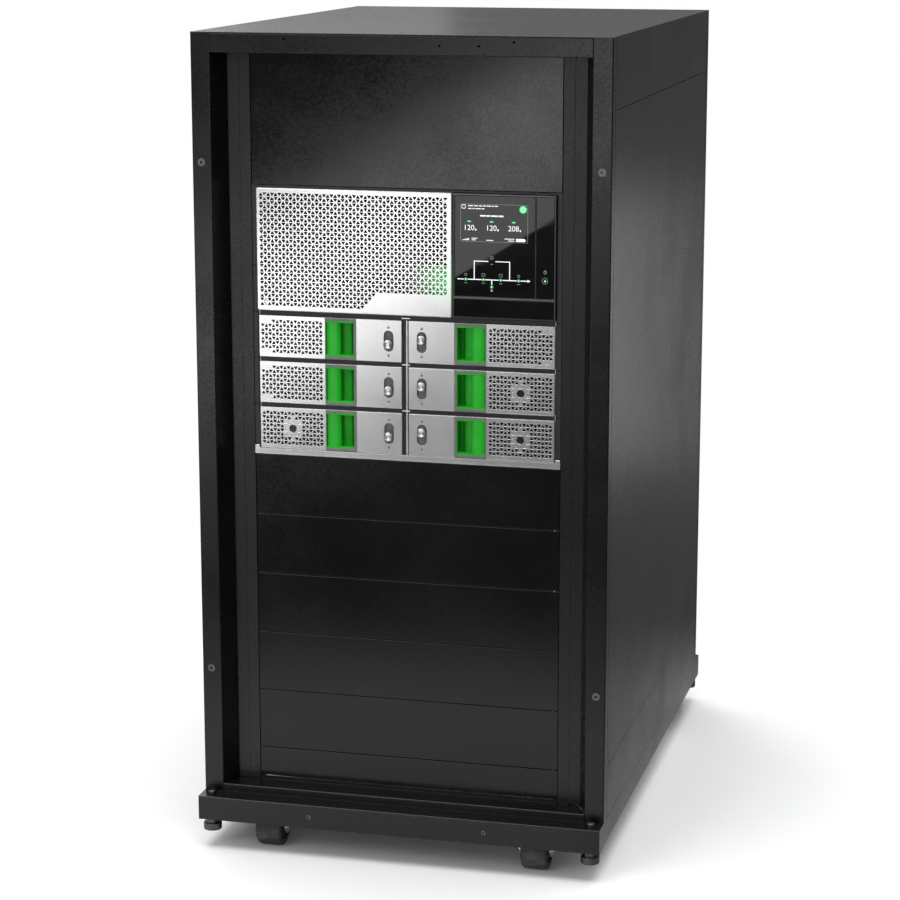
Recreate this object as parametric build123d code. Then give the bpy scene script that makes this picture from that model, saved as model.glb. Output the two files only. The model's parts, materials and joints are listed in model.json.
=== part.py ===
from build123d import *
import math
import os

# Rackmount UPS in its rack cabinet. Millimetres, +Z up, front towards -Y, +X to the right
# seen from the front. The origin is the centre of the footprint, on the floor.

# ---- driving dimensions ----------------------------------------------------------------
WIDTH = 600.0            # cabinet, outside the side panels
HEIGHT = 1190.0          # floor to roof, standing on its casters
DEPTH = 900.0            # over the base frame, which is the longest piece
LEDGE = 31.0             # how far the base frame stands out past the posts, front and rear
SHEET = 2.0              # structural sheet steel
THIN = 1.2               # covers and module cases
UNIT = 44.45             # one rack unit
RACK_BOTTOM = 97.0       # height of the lowest rack unit
RACK_UNITS = 24
GAP = 0.4                # clearance round a moving or removable piece

BASE_BOTTOM, BASE_TOP = 44.0, 80.0
SILL_TOP = 91.5          # low cross beam under the lowest panel
POST_WIDTH = 28.0        # front face of a corner post
POST_SIDE = 18.5         # how far a post shows on the cabinet's side
POST_DEPTH = 33.0        # sloping inner cheek, front to back
POST_SLOPE = 14.0        # how far that cheek leans inwards over its depth
TOP_BEAM = 27.0          # height of the top frame

RAIL_SETBACK = 35.0      # rack rails behind the front of the posts
EQUIPMENT_HALF = 225.4   # half the clear width between the rails
FLANGE_HALF = 241.3      # half the width over the rail flanges, 19 inch rack
LIP_HALF = 217.6         # inner edge of the rail's set-back lip
HOLE_SPACING = 465.1     # rear rail holes, centre to centre, 19 inch rack
SQUARE_HOLE = 9.5

UPS_BOTTOM = RACK_BOTTOM + 11 * UNIT
UPS_TOP = UPS_BOTTOM + 8.75 * UNIT
UPS_HALF = 216.9         # half the width of the UPS chassis
UPS_DEPTH = 672.0
FILLER_TOP = RACK_BOTTOM + RACK_UNITS * UNIT

MODULE_PITCH = 1.5 * UNIT
MODULE_HEIGHT = 60.0
MODULE_WIDTH = 211.4
MODULE_DEPTH = 600.0
MODULE_INNER_X = 4.8     # nearest a module comes to the cabinet's middle
MODULE_LOWEST = UPS_BOTTOM + 9.6
MODULE_PROUD = 2.5       # module faces stand out from the blanking panels by this much

HANDLE_FROM, HANDLE_TO = 98.5, 144.3   # handle window, measured from the module's outer edge
HANDLE_DEPTH = 26.0                    # finger box behind the face
LATCH_FROM_EDGE = 192.0                # centre of the latch slot from the outer edge
LATCH_SLOT = (14.0, 30.0)
LATCH_REST = -4.0                      # knob below the middle of its slot when locked
LATCH_PROUD = 6.0

WHEEL_RADIUS, WHEEL_WIDTH = 30.0, 38.0
CASTER_X = 200.0
CASTER_TRAIL = 20.0      # wheel axle ahead of the swivel pin
AXLE_RADIUS = 5.0
PIN_RADIUS = 7.0
FOOT_X, FOOT_INSET = 284.0, 16.0
STEM_RADIUS = 6.0
RUNNING = 0.06           # radial clearance of a pin in its hole

# ---- places worked out from them -------------------------------------------------------
HALF_W, HALF_D = WIDTH / 2, DEPTH / 2
POST_FRONT = -HALF_D + LEDGE
RAIL_FRONT = POST_FRONT + RAIL_SETBACK
PANEL_FRONT = RAIL_FRONT + 0.5
LIP_FRONT = PANEL_FRONT + SHEET
MODULE_FRONT = PANEL_FRONT - MODULE_PROUD
UPS_REAR = LIP_FRONT + UPS_DEPTH
REAR_RAIL = -POST_FRONT - 70.0
ROOF = 1.5
FRAME_TOP = HEIGHT - ROOF
UPPER_BOTTOM = UPS_BOTTOM + 210.5      # lower edge of the grille bezel and display
UPPER_TOP = UPS_TOP - 3.4
BEZEL_SPLIT = 69.2                     # X of the joint between bezel and display
CASTER_Y = HALF_D - LEDGE - 35.0       # swivel pins, from the middle, front and rear
CROSS_HALF = HALF_W - POST_WIDTH - 0.3 # half the length of the beams between the posts
CHEEK_X = HALF_W - POST_WIDTH - POST_SLOPE
FACE_DEPTH = LIP_FRONT - MODULE_FRONT - 0.3


def block(x0, x1, y0, y1, z0, z1):
    """A box between two corners."""
    return Pos(x0, y0, z0) * Box(x1 - x0, y1 - y0, z1 - z0, align=(Align.MIN,) * 3)


def mirrored(shape):
    """The same piece on the cabinet's other side."""
    return mirror(shape, about=Plane.YZ)


def turned(shape):
    """The same piece at the cabinet's rear."""
    return mirror(shape, about=Plane.XZ)


def rod(radius, start, end, axis):
    """A round bar along one axis, from one point to another."""
    length = max(abs(b - a) for a, b in zip(start, end))
    plane = Plane(origin=start, z_dir=axis)
    return plane * Cylinder(radius, length, align=(Align.CENTER, Align.CENTER, Align.MIN))


def bent_sheet(points, thickness, bend=0.0):
    """The section of a folded sheet: its outer line, and the same line moved in (to the left)."""
    inner = []
    last = len(points) - 1
    for i, (x, y) in enumerate(points):
        sides = []
        for a, b in ((i - 1, i), (i, i + 1)):
            if a >= 0 and b <= last:
                dx, dy = points[b][0] - points[a][0], points[b][1] - points[a][1]
                size = math.hypot(dx, dy)
                sides.append((-dy / size, dx / size))
        if len(sides) == 1:
            nx, ny = sides[0]
            inner.append((x + nx * thickness, y + ny * thickness))
        else:
            (ax, ay), (bx, by) = sides
            scale = thickness / (1 + ax * bx + ay * by)
            inner.append((x + (ax + bx) * scale, y + (ay + by) * scale))
    section = make_face(Polyline(*points, *reversed(inner), close=True))
    if bend:
        bends = [v for v in section.vertices() for p in points[1:-1]
                 if math.hypot(v.X - p[0], v.Y - p[1]) < 0.01]
        section = fillet(bends, bend)
    return section


def upright(section, z0, z1):
    """A section in XY, run upwards."""
    return extrude(Pos(0, 0, z0) * section, z1 - z0, dir=(0, 0, 1))


def crossways(section, x0, x1):
    """A section drawn as (Y, Z), run along X."""
    return extrude(Plane(origin=(x0, 0, 0), x_dir=(0, 1, 0), z_dir=(1, 0, 0)) * section, x1 - x0)


def lengthways(section, y0, y1):
    """A section drawn as (X, Z), run along Y."""
    plane = Plane(origin=(0, y1, 0), x_dir=(1, 0, 0), z_dir=(0, -1, 0))
    return extrude(plane * section, y1 - y0)


def pan(x0, x1, z0, z1, y0, depth, thickness=THIN, round_by=0.8):
    """A shallow sheet pan: a front at y0 with its four edges folded back."""
    body = block(x0, x1, y0, y0 + depth, z0, z1)
    body = fillet(body.edges().filter_by(lambda e: abs(e.center().Y - y0) < 0.01), round_by)
    inside = block(x0 + thickness, x1 - thickness, y0 + thickness, y0 + depth + 1,
                   z0 + thickness, z1 - thickness)
    return body - inside


def save(name, *solids):
    """One sub-part to its own file."""
    pieces = [s for shape in solids for s in shape.solids()]
    shape = pieces[0] if len(pieces) == 1 else Compound(children=pieces)
    shape.label = name
    export_step(shape, f"parts/{name}.step")


# ---- cabinet ---------------------------------------------------------------------------
def clear_of_posts(beam):
    """A cross beam with its ends cut back along the posts' sloping cheeks."""
    for s in (-1, 1):
        wedge = Polyline((s * CROSS_HALF, POST_FRONT + 0.5),
                         (s * (CHEEK_X - 3), POST_FRONT + POST_DEPTH + 2.2),
                         (s * (CROSS_HALF + 4), POST_FRONT + POST_DEPTH + 2.2), close=True)
        beam -= upright(make_face(wedge), BASE_TOP - 1, FRAME_TOP + 1)
    return beam


def base_frame():
    """Welded base: front and rear beams, side rails, caster cross members, corner plates."""
    beam = bent_sheet([(POST_FRONT + 5, BASE_TOP), (-HALF_D, BASE_TOP), (-HALF_D, BASE_BOTTOM),
                       (-HALF_D + 8, BASE_BOTTOM)], 2.5, 2.0)
    front = crossways(beam, -HALF_W, HALF_W)
    for x in (-131.0, 131.0):
        front -= rod(3.2, (x, -HALF_D - 1, 62), (x, -HALF_D + 4, 62), (0, 1, 0))
    for x in (-FOOT_X, FOOT_X):
        foot_y = -HALF_D + FOOT_INSET
        front -= rod(STEM_RADIUS + 1, (x, foot_y, 70), (x, foot_y, 90), (0, 0, 1))
    side = bent_sheet([(HALF_W - 30, BASE_TOP), (HALF_W, BASE_TOP), (HALF_W, BASE_BOTTOM),
                       (HALF_W - 8, BASE_BOTTOM)][::-1], 2.5, 2.0)
    side_reach = HALF_D - LEDGE - 5
    rail = lengthways(side, -side_reach, side_reach)
    end = block(HALF_W - 2.5, HALF_W, -HALF_D + 2.5, -side_reach, BASE_BOTTOM + 0.5, BASE_TOP - 2.5)
    member = crossways(bent_sheet([(POST_FRONT - 4, 62), (POST_FRONT - 4, BASE_TOP - 2.5),
                                   (POST_FRONT + 85, BASE_TOP - 2.5), (POST_FRONT + 85, 62)][::-1],
                                  3.0), -HALF_W + 2.5, HALF_W - 2.5)
    sill = crossways(bent_sheet([(LIP_FRONT, SILL_TOP), (POST_FRONT, SILL_TOP),
                                 (POST_FRONT, BASE_TOP)], SHEET, 1.5), -CROSS_HALF, CROSS_HALF)
    sill = clear_of_posts(sill)
    sill += block(-EQUIPMENT_HALF + 1, EQUIPMENT_HALF - 1, PANEL_FRONT, LIP_FRONT,
                  SILL_TOP - SHEET, RACK_BOTTOM - 0.4)
    for x in (-CASTER_X, CASTER_X):
        member -= rod(PIN_RADIUS + RUNNING, (x, -CASTER_Y, 60), (x, -CASTER_Y, 90), (0, 0, 1))
    corners = []
    for x in (-FOOT_X, FOOT_X):
        plate = block(x - 14, x + 13, -HALF_D + 2.6, -HALF_D + 32, BASE_BOTTOM + 0.2,
                      BASE_BOTTOM + 3)
        nut = Pos(x, -HALF_D + FOOT_INSET, BASE_BOTTOM + 3) * extrude(
            RegularPolygon(10.5, 6), 12)
        hole = rod(STEM_RADIUS + RUNNING, (x, -HALF_D + FOOT_INSET, 40),
                   (x, -HALF_D + FOOT_INSET, 70), (0, 0, 1))
        corners.append(plate + nut - hole)
    half = [front, member, sill, *corners]
    return half + [turned(s) for s in half] + [rail, mirrored(rail), end, mirrored(end),
                                               turned(end), turned(mirrored(end))]


def corner_posts():
    """Four folded posts: side strip, front face, sloping inner cheek and rear return."""
    line = [(HALF_W, POST_FRONT + POST_SIDE), (HALF_W, POST_FRONT),
            (HALF_W - POST_WIDTH, POST_FRONT), (CHEEK_X, POST_FRONT + POST_DEPTH),
            (HALF_W - 15, POST_FRONT + POST_DEPTH)]
    post = upright(bent_sheet(line[::-1], SHEET, 1.6), BASE_TOP, FRAME_TOP)
    for z in (268.2, 1008.4):
        x = HALF_W - POST_WIDTH / 2 + 0.5
        post -= rod(3.2, (x, POST_FRONT - 1, z), (x, POST_FRONT + 4, z), (0, 1, 0))
    return [post, mirrored(post), turned(post), turned(mirrored(post))]


def top_frame():
    """Front and rear cross beams between the posts, and two side beams."""
    z0, y1 = FRAME_TOP - TOP_BEAM, POST_FRONT + 32
    beam = block(-CROSS_HALF, CROSS_HALF, POST_FRONT, y1, z0, FRAME_TOP)
    beam = fillet(beam.edges().filter_by(Axis.X), 1.5)
    beam -= block(-CROSS_HALF - 1, CROSS_HALF + 1, POST_FRONT + SHEET, y1 - SHEET, z0 + SHEET,
                  FRAME_TOP - SHEET)
    beam = clear_of_posts(beam)
    for x, y in ROOF_SCREWS:
        beam -= rod(3.2, (x, y, FRAME_TOP - 4), (x, y, FRAME_TOP + 1), (0, 0, 1))
    for x, drop in ((-163.0, 7.5), (59.0, 13.5), (114.0, 13.5), (163.0, 7.5)):
        z = FRAME_TOP - drop
        beam -= rod(1.7, (x, POST_FRONT - 1, z), (x, POST_FRONT + 3, z), (0, 1, 0))
    reach = -POST_FRONT - POST_DEPTH
    section = bent_sheet([(HALF_W - 15, FRAME_TOP), (HALF_W - 40, FRAME_TOP),
                          (HALF_W - 40, FRAME_TOP - 30), (HALF_W - 15, FRAME_TOP - 30)], SHEET)
    side = lengthways(section, -reach, reach)
    return [beam, turned(beam), side, mirrored(side)]


def roof_panel():
    """Flat roof sheet with screw countersinks near its corners."""
    roof = block(-HALF_W, HALF_W, POST_FRONT, -POST_FRONT, FRAME_TOP, HEIGHT)
    top_edges = roof.edges().filter_by(lambda e: abs(e.center().Z - HEIGHT) < 0.01)
    roof = fillet(top_edges, 0.9)
    for x, y in ROOF_SCREWS:
        roof -= rod(3.1, (x, y, FRAME_TOP - 1), (x, y, HEIGHT + 1), (0, 0, 1))
    return roof


ROOF_SCREWS = [(x, s * (-POST_FRONT - 20)) for x in (-246.0, 0.0, 246.0) for s in (-1, 1)]


def side_panels():
    """Right side cover in three pieces: upper band, main panel and lower band."""
    y_half = -POST_FRONT - POST_SIDE - 1.2
    solids = []
    for z0, z1 in ((BASE_TOP + 1, 159.0), (160.2, HEIGHT - 100.0), (HEIGHT - 98.8, FRAME_TOP - 0.4)):
        flat = pan(-y_half, y_half, z0, z1, -HALF_W, 11.0, THIN, 0.9)
        solids.append(Rot(0, 0, 90) * flat)
    return solids


def front_rails():
    """Two front rack rails: face strip, joggle, set-back lip with tapped holes, side web."""
    line = [(FLANGE_HALF, RAIL_FRONT + 52), (FLANGE_HALF, RAIL_FRONT),
            (EQUIPMENT_HALF, RAIL_FRONT), (EQUIPMENT_HALF, LIP_FRONT), (LIP_HALF, LIP_FRONT)]
    rail = upright(bent_sheet(line[::-1], SHEET), RACK_BOTTOM - 5, FRAME_TOP - TOP_BEAM)
    for i in range(RACK_UNITS):
        z = RACK_BOTTOM + (i + 0.5) * UNIT
        rail -= rod(2.1, (221.2, LIP_FRONT - 1, z), (221.2, LIP_FRONT + 3, z), (0, 1, 0))
    return [rail, mirrored(rail)]


def rear_rails():
    """Two rear rack rails with the standard three square holes in each unit."""
    line = [(EQUIPMENT_HALF, REAR_RAIL), (FLANGE_HALF, REAR_RAIL), (FLANGE_HALF, REAR_RAIL - 50)]
    rail = upright(bent_sheet(line[::-1], SHEET), RACK_BOTTOM - 5, FRAME_TOP - TOP_BEAM)
    half, x = SQUARE_HOLE / 2, HOLE_SPACING / 2
    for i in range(RACK_UNITS):
        for step in (6.35, 22.225, 38.1):
            z = RACK_BOTTOM + i * UNIT + step
            rail -= block(x - half, x + half, REAR_RAIL - 4, REAR_RAIL + 1, z - half, z + half)
    return [rail, mirrored(rail)]


def rail_braces():
    """Side channels that carry the rails, three on each side, post to post."""
    reach = -POST_FRONT - POST_DEPTH - 4.0
    solids = []
    for z in (150.0, 560.0, 1040.0):
        section = bent_sheet([(HALF_W - 16, z + 32), (FLANGE_HALF, z + 32), (FLANGE_HALF, z),
                              (HALF_W - 16, z)], SHEET)
        brace = lengthways(section, -reach, reach)
        solids += [brace, mirrored(brace)]
    return solids


def ups_support_angles():
    """Two angles from rail to rail that the UPS chassis stands on."""
    section = bent_sheet([(FLANGE_HALF - 2.0, UPS_BOTTOM + 40), (FLANGE_HALF - 2.0, UPS_BOTTOM - 1.6),
                          (FLANGE_HALF - 50, UPS_BOTTOM - 1.6)][::-1], SHEET)
    angle = lengthways(section, LIP_FRONT + 16, REAR_RAIL - SHEET)
    return [angle, mirrored(angle)]


def front_baffles():
    """Sheet strips that close the gap between the posts and the front rails."""
    y0, y1 = POST_FRONT + POST_DEPTH + 2, POST_FRONT + POST_DEPTH + 3.5
    strip = block(FLANGE_HALF + 0.2, HALF_W - 16, y0, y1, 92.0, FRAME_TOP - 30.5)
    strip += block(FLANGE_HALF + 0.2, HALF_W - 40.6, y0, y1, FRAME_TOP - 31, FRAME_TOP - 1)
    return [strip, mirrored(strip)]


def blank_panel(z0, z1):
    """A blanking panel: a sheet pan with two spring clips behind its ends."""
    half = EQUIPMENT_HALF - 0.8
    sheet = block(-half, half, PANEL_FRONT, LIP_FRONT, z0 + 0.45, z1 - 0.45)
    front = sheet.edges().filter_by(lambda e: abs(e.center().Y - PANEL_FRONT) < 0.01)
    sheet = fillet(front, 0.7)
    inner = LIP_HALF - 2.0
    folds = block(-inner, inner, LIP_FRONT, LIP_FRONT + 14, z0 + 0.45, z1 - 0.45)
    folds -= block(-inner - 1, inner + 1, LIP_FRONT - 1, LIP_FRONT + 15, z0 + 1.65, z1 - 1.65)
    panel = sheet + folds
    middle = (z0 + z1) / 2
    for s in (-1, 1):
        x = s * (LIP_HALF - 4)
        panel += block(x - 1, x + 1, LIP_FRONT - 0.2, LIP_FRONT + 12, middle - 6, middle + 6)
    return panel


def cabinet_screws():
    """Ring-shaped rivet nuts in the posts and base beam, and the roof screws."""
    solids = []
    for x in (-HALF_W + POST_WIDTH / 2 - 0.5, HALF_W - POST_WIDTH / 2 + 0.5):
        for z in (268.2, 1008.4):
            for s in (-1, 1):
                solids.append(rivet_nut(x, s * POST_FRONT, z, s))
    for x in (-131.0, 131.0):
        for s in (-1, 1):
            solids.append(rivet_nut(x, -s * HALF_D, 62.0, s))
    for x, y in ROOF_SCREWS:
        shank = rod(3.0, (x, y, FRAME_TOP - 8), (x, y, HEIGHT - 0.5), (0, 0, 1))
        drive = Pos(x, y, HEIGHT - 1.4) * extrude(RegularPolygon(1.7, 6), 2)
        solids.append(shank - drive)
    return solids


def rivet_nut(x, y, z, front):
    """A threaded insert whose flange stands just proud of the sheet."""
    out = (0, -1, 0) if front > 0 else (0, 1, 0)
    proud = 0.6 if abs(y) < HALF_D - 1 else 0.0
    y0 = y - out[1] * 5.0
    body = rod(3.15, (x, y0, z), (x, y + out[1] * proud, z), out)
    if proud:
        flange = rod(5.6, (x, y, z), (x, y + out[1] * proud, z), out)
        body += flange
    return body - rod(2.0, (x, y0 + out[1] * 1.5, z), (x, y + out[1] * 3, z), out)


def levelling_foot(x, y):
    """Screw-down foot, wound right up: pad, hexagon and threaded stem."""
    pad = rod(13.5, (x, y, 26), (x, y, 37), (0, 0, 1))
    pad = fillet(pad.edges().filter_by(GeomType.CIRCLE), 1.5)
    collar = Pos(x, y, 37) * extrude(RegularPolygon(11, 6), 6)
    stem = rod(STEM_RADIUS, (x, y, 37), (x, y, 86), (0, 0, 1))
    stem = chamfer(stem.edges().sort_by(Axis.Z)[-1:], 1.2)
    return pad + collar + stem


def caster_fork(x, y, ahead, swivels):
    """Pressed steel fork with its axle; the front ones turn on a pin through the base."""
    top = BASE_TOP - 5.5
    axle_y = y + ahead
    crown = block(x - 22.8, x + 22.8, y - 24, y + 20, 64, 67)
    fork = crown
    cheek_line = Polyline((axle_y - 12, 30), (y - 24, 64), (y + 20, 64), (axle_y + 12, 30),
                          close=True)
    for s in (-1, 1):
        x0 = x + (20.3 if s > 0 else -22.8)
        cheek = crossways(make_face(cheek_line), x0, x0 + 2.5)
        cheek += rod(12, (x0, axle_y, WHEEL_RADIUS), (x0 + 2.5, axle_y, WHEEL_RADIUS), (1, 0, 0))
        fork += cheek
    race = rod(19, (x, y, 67), (x, y, top - (0.4 if swivels else 0)), (0, 0, 1))
    fork += race
    if swivels:
        fork += rod(PIN_RADIUS, (x, y, 70), (x, y, BASE_TOP + 4), (0, 0, 1))
    fork -= rod(AXLE_RADIUS, (x - 30, axle_y, WHEEL_RADIUS), (x + 30, axle_y, WHEEL_RADIUS),
                (1, 0, 0))
    axle = rod(AXLE_RADIUS, (x - 22.8, axle_y, WHEEL_RADIUS), (x + 22.8, axle_y, WHEEL_RADIUS),
               (1, 0, 0))
    for s in (-1, 1):
        x0 = x + (22.8 if s > 0 else -25.8)
        axle += rod(8, (x0, axle_y, WHEEL_RADIUS), (x0 + 3, axle_y, WHEEL_RADIUS), (1, 0, 0))
    return [fork, axle]


def caster_wheel(x, axle_y):
    """Solid wheel with rounded tread edges and a plain bore."""
    half = WHEEL_WIDTH / 2
    wheel = rod(WHEEL_RADIUS, (x - half, axle_y, WHEEL_RADIUS), (x + half, axle_y, WHEEL_RADIUS),
                (1, 0, 0))
    wheel = fillet(wheel.edges().filter_by(GeomType.CIRCLE), 4)
    for s in (-1, 1):
        x0 = x + (half - 3 if s > 0 else -half - 1)
        wheel -= rod(21, (x0, axle_y, WHEEL_RADIUS), (x0 + 4, axle_y, WHEEL_RADIUS), (1, 0, 0))
        hub0 = x + (half - 3.2 if s > 0 else -half)
        wheel += rod(11, (hub0, axle_y, WHEEL_RADIUS), (hub0 + 3.2, axle_y, WHEEL_RADIUS),
                     (1, 0, 0))
    return wheel - rod(AXLE_RADIUS + RUNNING, (x - 30, axle_y, WHEEL_RADIUS),
                       (x + 30, axle_y, WHEEL_RADIUS), (1, 0, 0))


# ---- UPS chassis -----------------------------------------------------------------------
def ups_case():
    """Outer sheet case of the UPS: floor, sides and lid, open at the front and rear."""
    z0, z1 = UPS_BOTTOM + 0.4, UPS_TOP - 0.4
    case = block(-UPS_HALF, UPS_HALF, LIP_FRONT, UPS_REAR, z0, z1)
    return case - block(-UPS_HALF + THIN, UPS_HALF - THIN, LIP_FRONT - 1, UPS_REAR + 1,
                        z0 + THIN, z1 - THIN)


def ups_shelf_frame():
    """Module bays: floor, three shelves with hemmed fronts and a centre divider."""
    half = UPS_HALF - THIN
    rear = UPS_REAR - 62.0
    floor_top = MODULE_LOWEST - GAP
    frame = block(-half, half, LIP_FRONT, rear, floor_top - THIN, floor_top)
    for i in (1, 2, 3):
        top = MODULE_LOWEST + i * MODULE_PITCH - GAP
        under = MODULE_LOWEST + (i - 1) * MODULE_PITCH + MODULE_HEIGHT + GAP
        frame += block(-half, half, LIP_FRONT, rear, top - THIN, top)
        frame += block(-half, half, LIP_FRONT, LIP_FRONT + 8, under, top)
    top = MODULE_LOWEST + 3 * MODULE_PITCH - GAP
    frame += block(-0.8, 0.8, LIP_FRONT, rear, floor_top - THIN, top - THIN)
    hem = MODULE_INNER_X - GAP
    frame += block(-hem, hem, LIP_FRONT, LIP_FRONT + 8, floor_top - THIN, top - THIN)
    board_y = UPS_REAR - 60.0
    board = block(-half, half, board_y, board_y + 2.4, floor_top, top - THIN)
    solids = [frame, board]
    for row in range(3):
        z = MODULE_LOWEST + row * MODULE_PITCH + 15
        for x in (-110.0, 110.0):
            solids.append(block(x - 40, x + 40, board_y - 8, board_y, z, z + 30))
    return solids


def ups_front_frame():
    """Silver front trim: two narrow rack ears joined by the tray lip under the modules."""
    half = EQUIPMENT_HALF - 0.5
    y0, lip_top = PANEL_FRONT, MODULE_LOWEST - GAP
    trim = block(-half, half, y0 - 2.5, LIP_FRONT, UPS_BOTTOM + 0.5, lip_top)
    trim = fillet(trim.edges().filter_by(lambda e: abs(e.center().Y - y0 + 2.5) < 0.01), 0.6)
    groove_z = UPS_BOTTOM + 2.6
    trim -= block(-half - 1, half + 1, y0 - 3, y0 - 1.7, groove_z, groove_z + 0.7)
    for s in (-1, 1):
        x0, x1 = sorted((s * (UPS_HALF + 0.9), s * half))
        trim += block(x0, x1, y0, LIP_FRONT, lip_top, UPS_TOP - 0.5)
        tab0, tab1 = sorted((s * (half - 7), s * half))
        trim += block(tab0, tab1, y0 - 2.5, y0, lip_top, lip_top + 4)
    trim += block(-half, half, LIP_FRONT - 1.5, LIP_FRONT, UPPER_TOP + 0.3, UPS_TOP - 0.5)
    return trim


def ups_bypass_unit():
    """Upper chassis box behind the bezel: tray, front plate with a fan opening, heat sink."""
    half = UPS_HALF - THIN - 0.3
    z0 = MODULE_LOWEST + 3 * MODULE_PITCH
    z1 = UPS_TOP - 0.4 - THIN - 0.3
    y0, y1 = LIP_FRONT + 3.5, UPS_REAR - 4
    plate_front = block(-half, half, y0, y0 + THIN, z0, z1)
    plate_front -= rod(57, (FAN_X, y0 - 1, FAN_Z), (FAN_X, y0 + 3, FAN_Z), (0, 1, 0))
    tray = block(-half, half, y0, y1, z0, z0 + THIN) + plate_front
    base_z = z0 + THIN + 6
    sink = block(-150, 20, -150, 120, base_z, base_z + 8)
    for i in range(12):
        x = -148 + i * 15.0
        sink += block(x, x + 2.5, -150, 120, base_z + 8, base_z + 60)
    board = block(50, 200, -250, 150, base_z, base_z + 1.6)
    posts = [block(x - 3, x + 3, y - 3, y + 3, z0 + THIN, base_z)
             for x in (60, 190) for y in (-240, 140)]
    feet = [block(x - 4, x + 4, y - 4, y + 4, z0 + THIN, base_z)
            for x in (-140, 10) for y in (-140, 110)]
    coils = [rod(20, (x, 60, base_z + 1.6), (x, 60, base_z + 52), (0, 0, 1)) for x in (90, 150)]
    return [tray, sink, board, *posts, *feet, *coils]


FAN_X, FAN_Z = -74.0, (UPPER_BOTTOM + UPPER_TOP) / 2
FAN_HALF, FAN_DEPTH = 60.0, 25.0
FAN_FRONT = LIP_FRONT + 3.5 + THIN


def ups_fan_frame():
    """Square fan frame with four struts that carry the motor at its rear."""
    y0, y1 = FAN_FRONT, FAN_FRONT + FAN_DEPTH
    frame = block(FAN_X - FAN_HALF, FAN_X + FAN_HALF, y0, y1, FAN_Z - FAN_HALF, FAN_Z + FAN_HALF)
    frame = fillet(frame.edges().filter_by(Axis.Y), 5)
    frame -= rod(57, (FAN_X, y0 - 1, FAN_Z), (FAN_X, y1 + 1, FAN_Z), (0, 1, 0))
    frame += rod(20, (FAN_X, y1 - 4, FAN_Z), (FAN_X, y1, FAN_Z), (0, 1, 0))
    for i in range(4):
        strut = block(18, 58, y1 - 4, y1, -2.5, 2.5)
        frame += Pos(FAN_X, 0, FAN_Z) * Rot(0, 45 + 90 * i, 0) * strut
    return frame


def ups_fan_rotor():
    """Fan hub with seven pitched blades."""
    y0, y1 = FAN_FRONT + 2, FAN_FRONT + FAN_DEPTH - 5
    hub = rod(21, (0, y0, 0), (0, y1, 0), (0, 1, 0))
    hub = fillet(hub.edges().filter_by(GeomType.CIRCLE).sort_by(Axis.Y)[:1], 2)
    blade = Pos(37, (y0 + y1) / 2, 0) * Rot(38, 0, 0) * Box(36, 2, 22)
    rotor = hub
    for i in range(7):
        rotor += Rot(0, 360 / 7 * i, 0) * blade
    rotor &= rod(54.5, (0, y0, 0), (0, y1, 0), (0, 1, 0))
    return Pos(FAN_X, 0, FAN_Z) * rotor


def ups_grille_bezel():
    """Pull-off bezel pan over the fan and bypass unit, with four snap studs."""
    x0, x1 = -UPS_HALF - 0.5, BEZEL_SPLIT - 0.4
    y0 = MODULE_FRONT - 3.0
    bezel = pan(x0, x1, UPPER_BOTTOM, UPPER_TOP, y0, LIP_FRONT - 0.4 - y0, 1.8, 1.5)
    for x in (x0 + 12, x1 - 12):
        for z in (UPPER_BOTTOM + 12, UPPER_TOP - 12):
            bezel += rod(3, (x, y0 + 1, z), (x, LIP_FRONT + 3.3, z), (0, 1, 0))
    return bezel


DISPLAY_FRONT = MODULE_FRONT - 2.6
GLASS_X = (73.0, 187.4)
STRIP_X = (189.2, 214.6)
GLASS_Z = (UPS_BOTTOM + 242.0, UPS_BOTTOM + 383.0)
BUTTON_X = (STRIP_X[0] + STRIP_X[1]) / 2
BUTTON_Z = UPS_BOTTOM + 267.0
BUTTON_RADIUS = 5.5


def ups_display_frame():
    """Black display housing with pockets for its glass and the button strip."""
    frame = block(BEZEL_SPLIT, UPS_HALF + 0.5, DISPLAY_FRONT, LIP_FRONT - 0.4, UPPER_BOTTOM,
                  UPPER_TOP)
    edges = frame.edges().filter_by(lambda e: abs(e.center().Y - DISPLAY_FRONT) < 0.01)
    frame = fillet(edges, 1.0)
    frame += block(BEZEL_SPLIT + 2, UPS_HALF - 3, LIP_FRONT - 1, LIP_FRONT + 3.3,
                   UPPER_BOTTOM + 2, UPPER_TOP - 2)
    for x0, x1 in (GLASS_X, STRIP_X):
        frame -= block(x0 - 0.2, x1 + 0.2, DISPLAY_FRONT - 1, DISPLAY_FRONT + 2.2,
                       GLASS_Z[0] - 0.2, GLASS_Z[1] + 0.2)
    well = DISPLAY_FRONT + 7.0
    frame -= rod(BUTTON_RADIUS + 0.3, (BUTTON_X, DISPLAY_FRONT, BUTTON_Z),
                 (BUTTON_X, well, BUTTON_Z), (0, 1, 0))
    return frame


def ups_display_glass():
    """Cover glass over the screen, and the narrower strip that holds the power button."""
    panes = []
    for x0, x1 in (GLASS_X, STRIP_X):
        pane = block(x0, x1, DISPLAY_FRONT + 0.2, DISPLAY_FRONT + 2.2, *GLASS_Z)
        front = pane.edges().filter_by(lambda e: abs(e.center().Y - DISPLAY_FRONT - 0.2) < 0.01)
        panes.append(fillet(front, 0.4))
    hole = rod(BUTTON_RADIUS + 0.3, (BUTTON_X, DISPLAY_FRONT - 1, BUTTON_Z),
               (BUTTON_X, DISPLAY_FRONT + 4, BUTTON_Z), (0, 1, 0))
    return [panes[0], panes[1] - hole]


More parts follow.
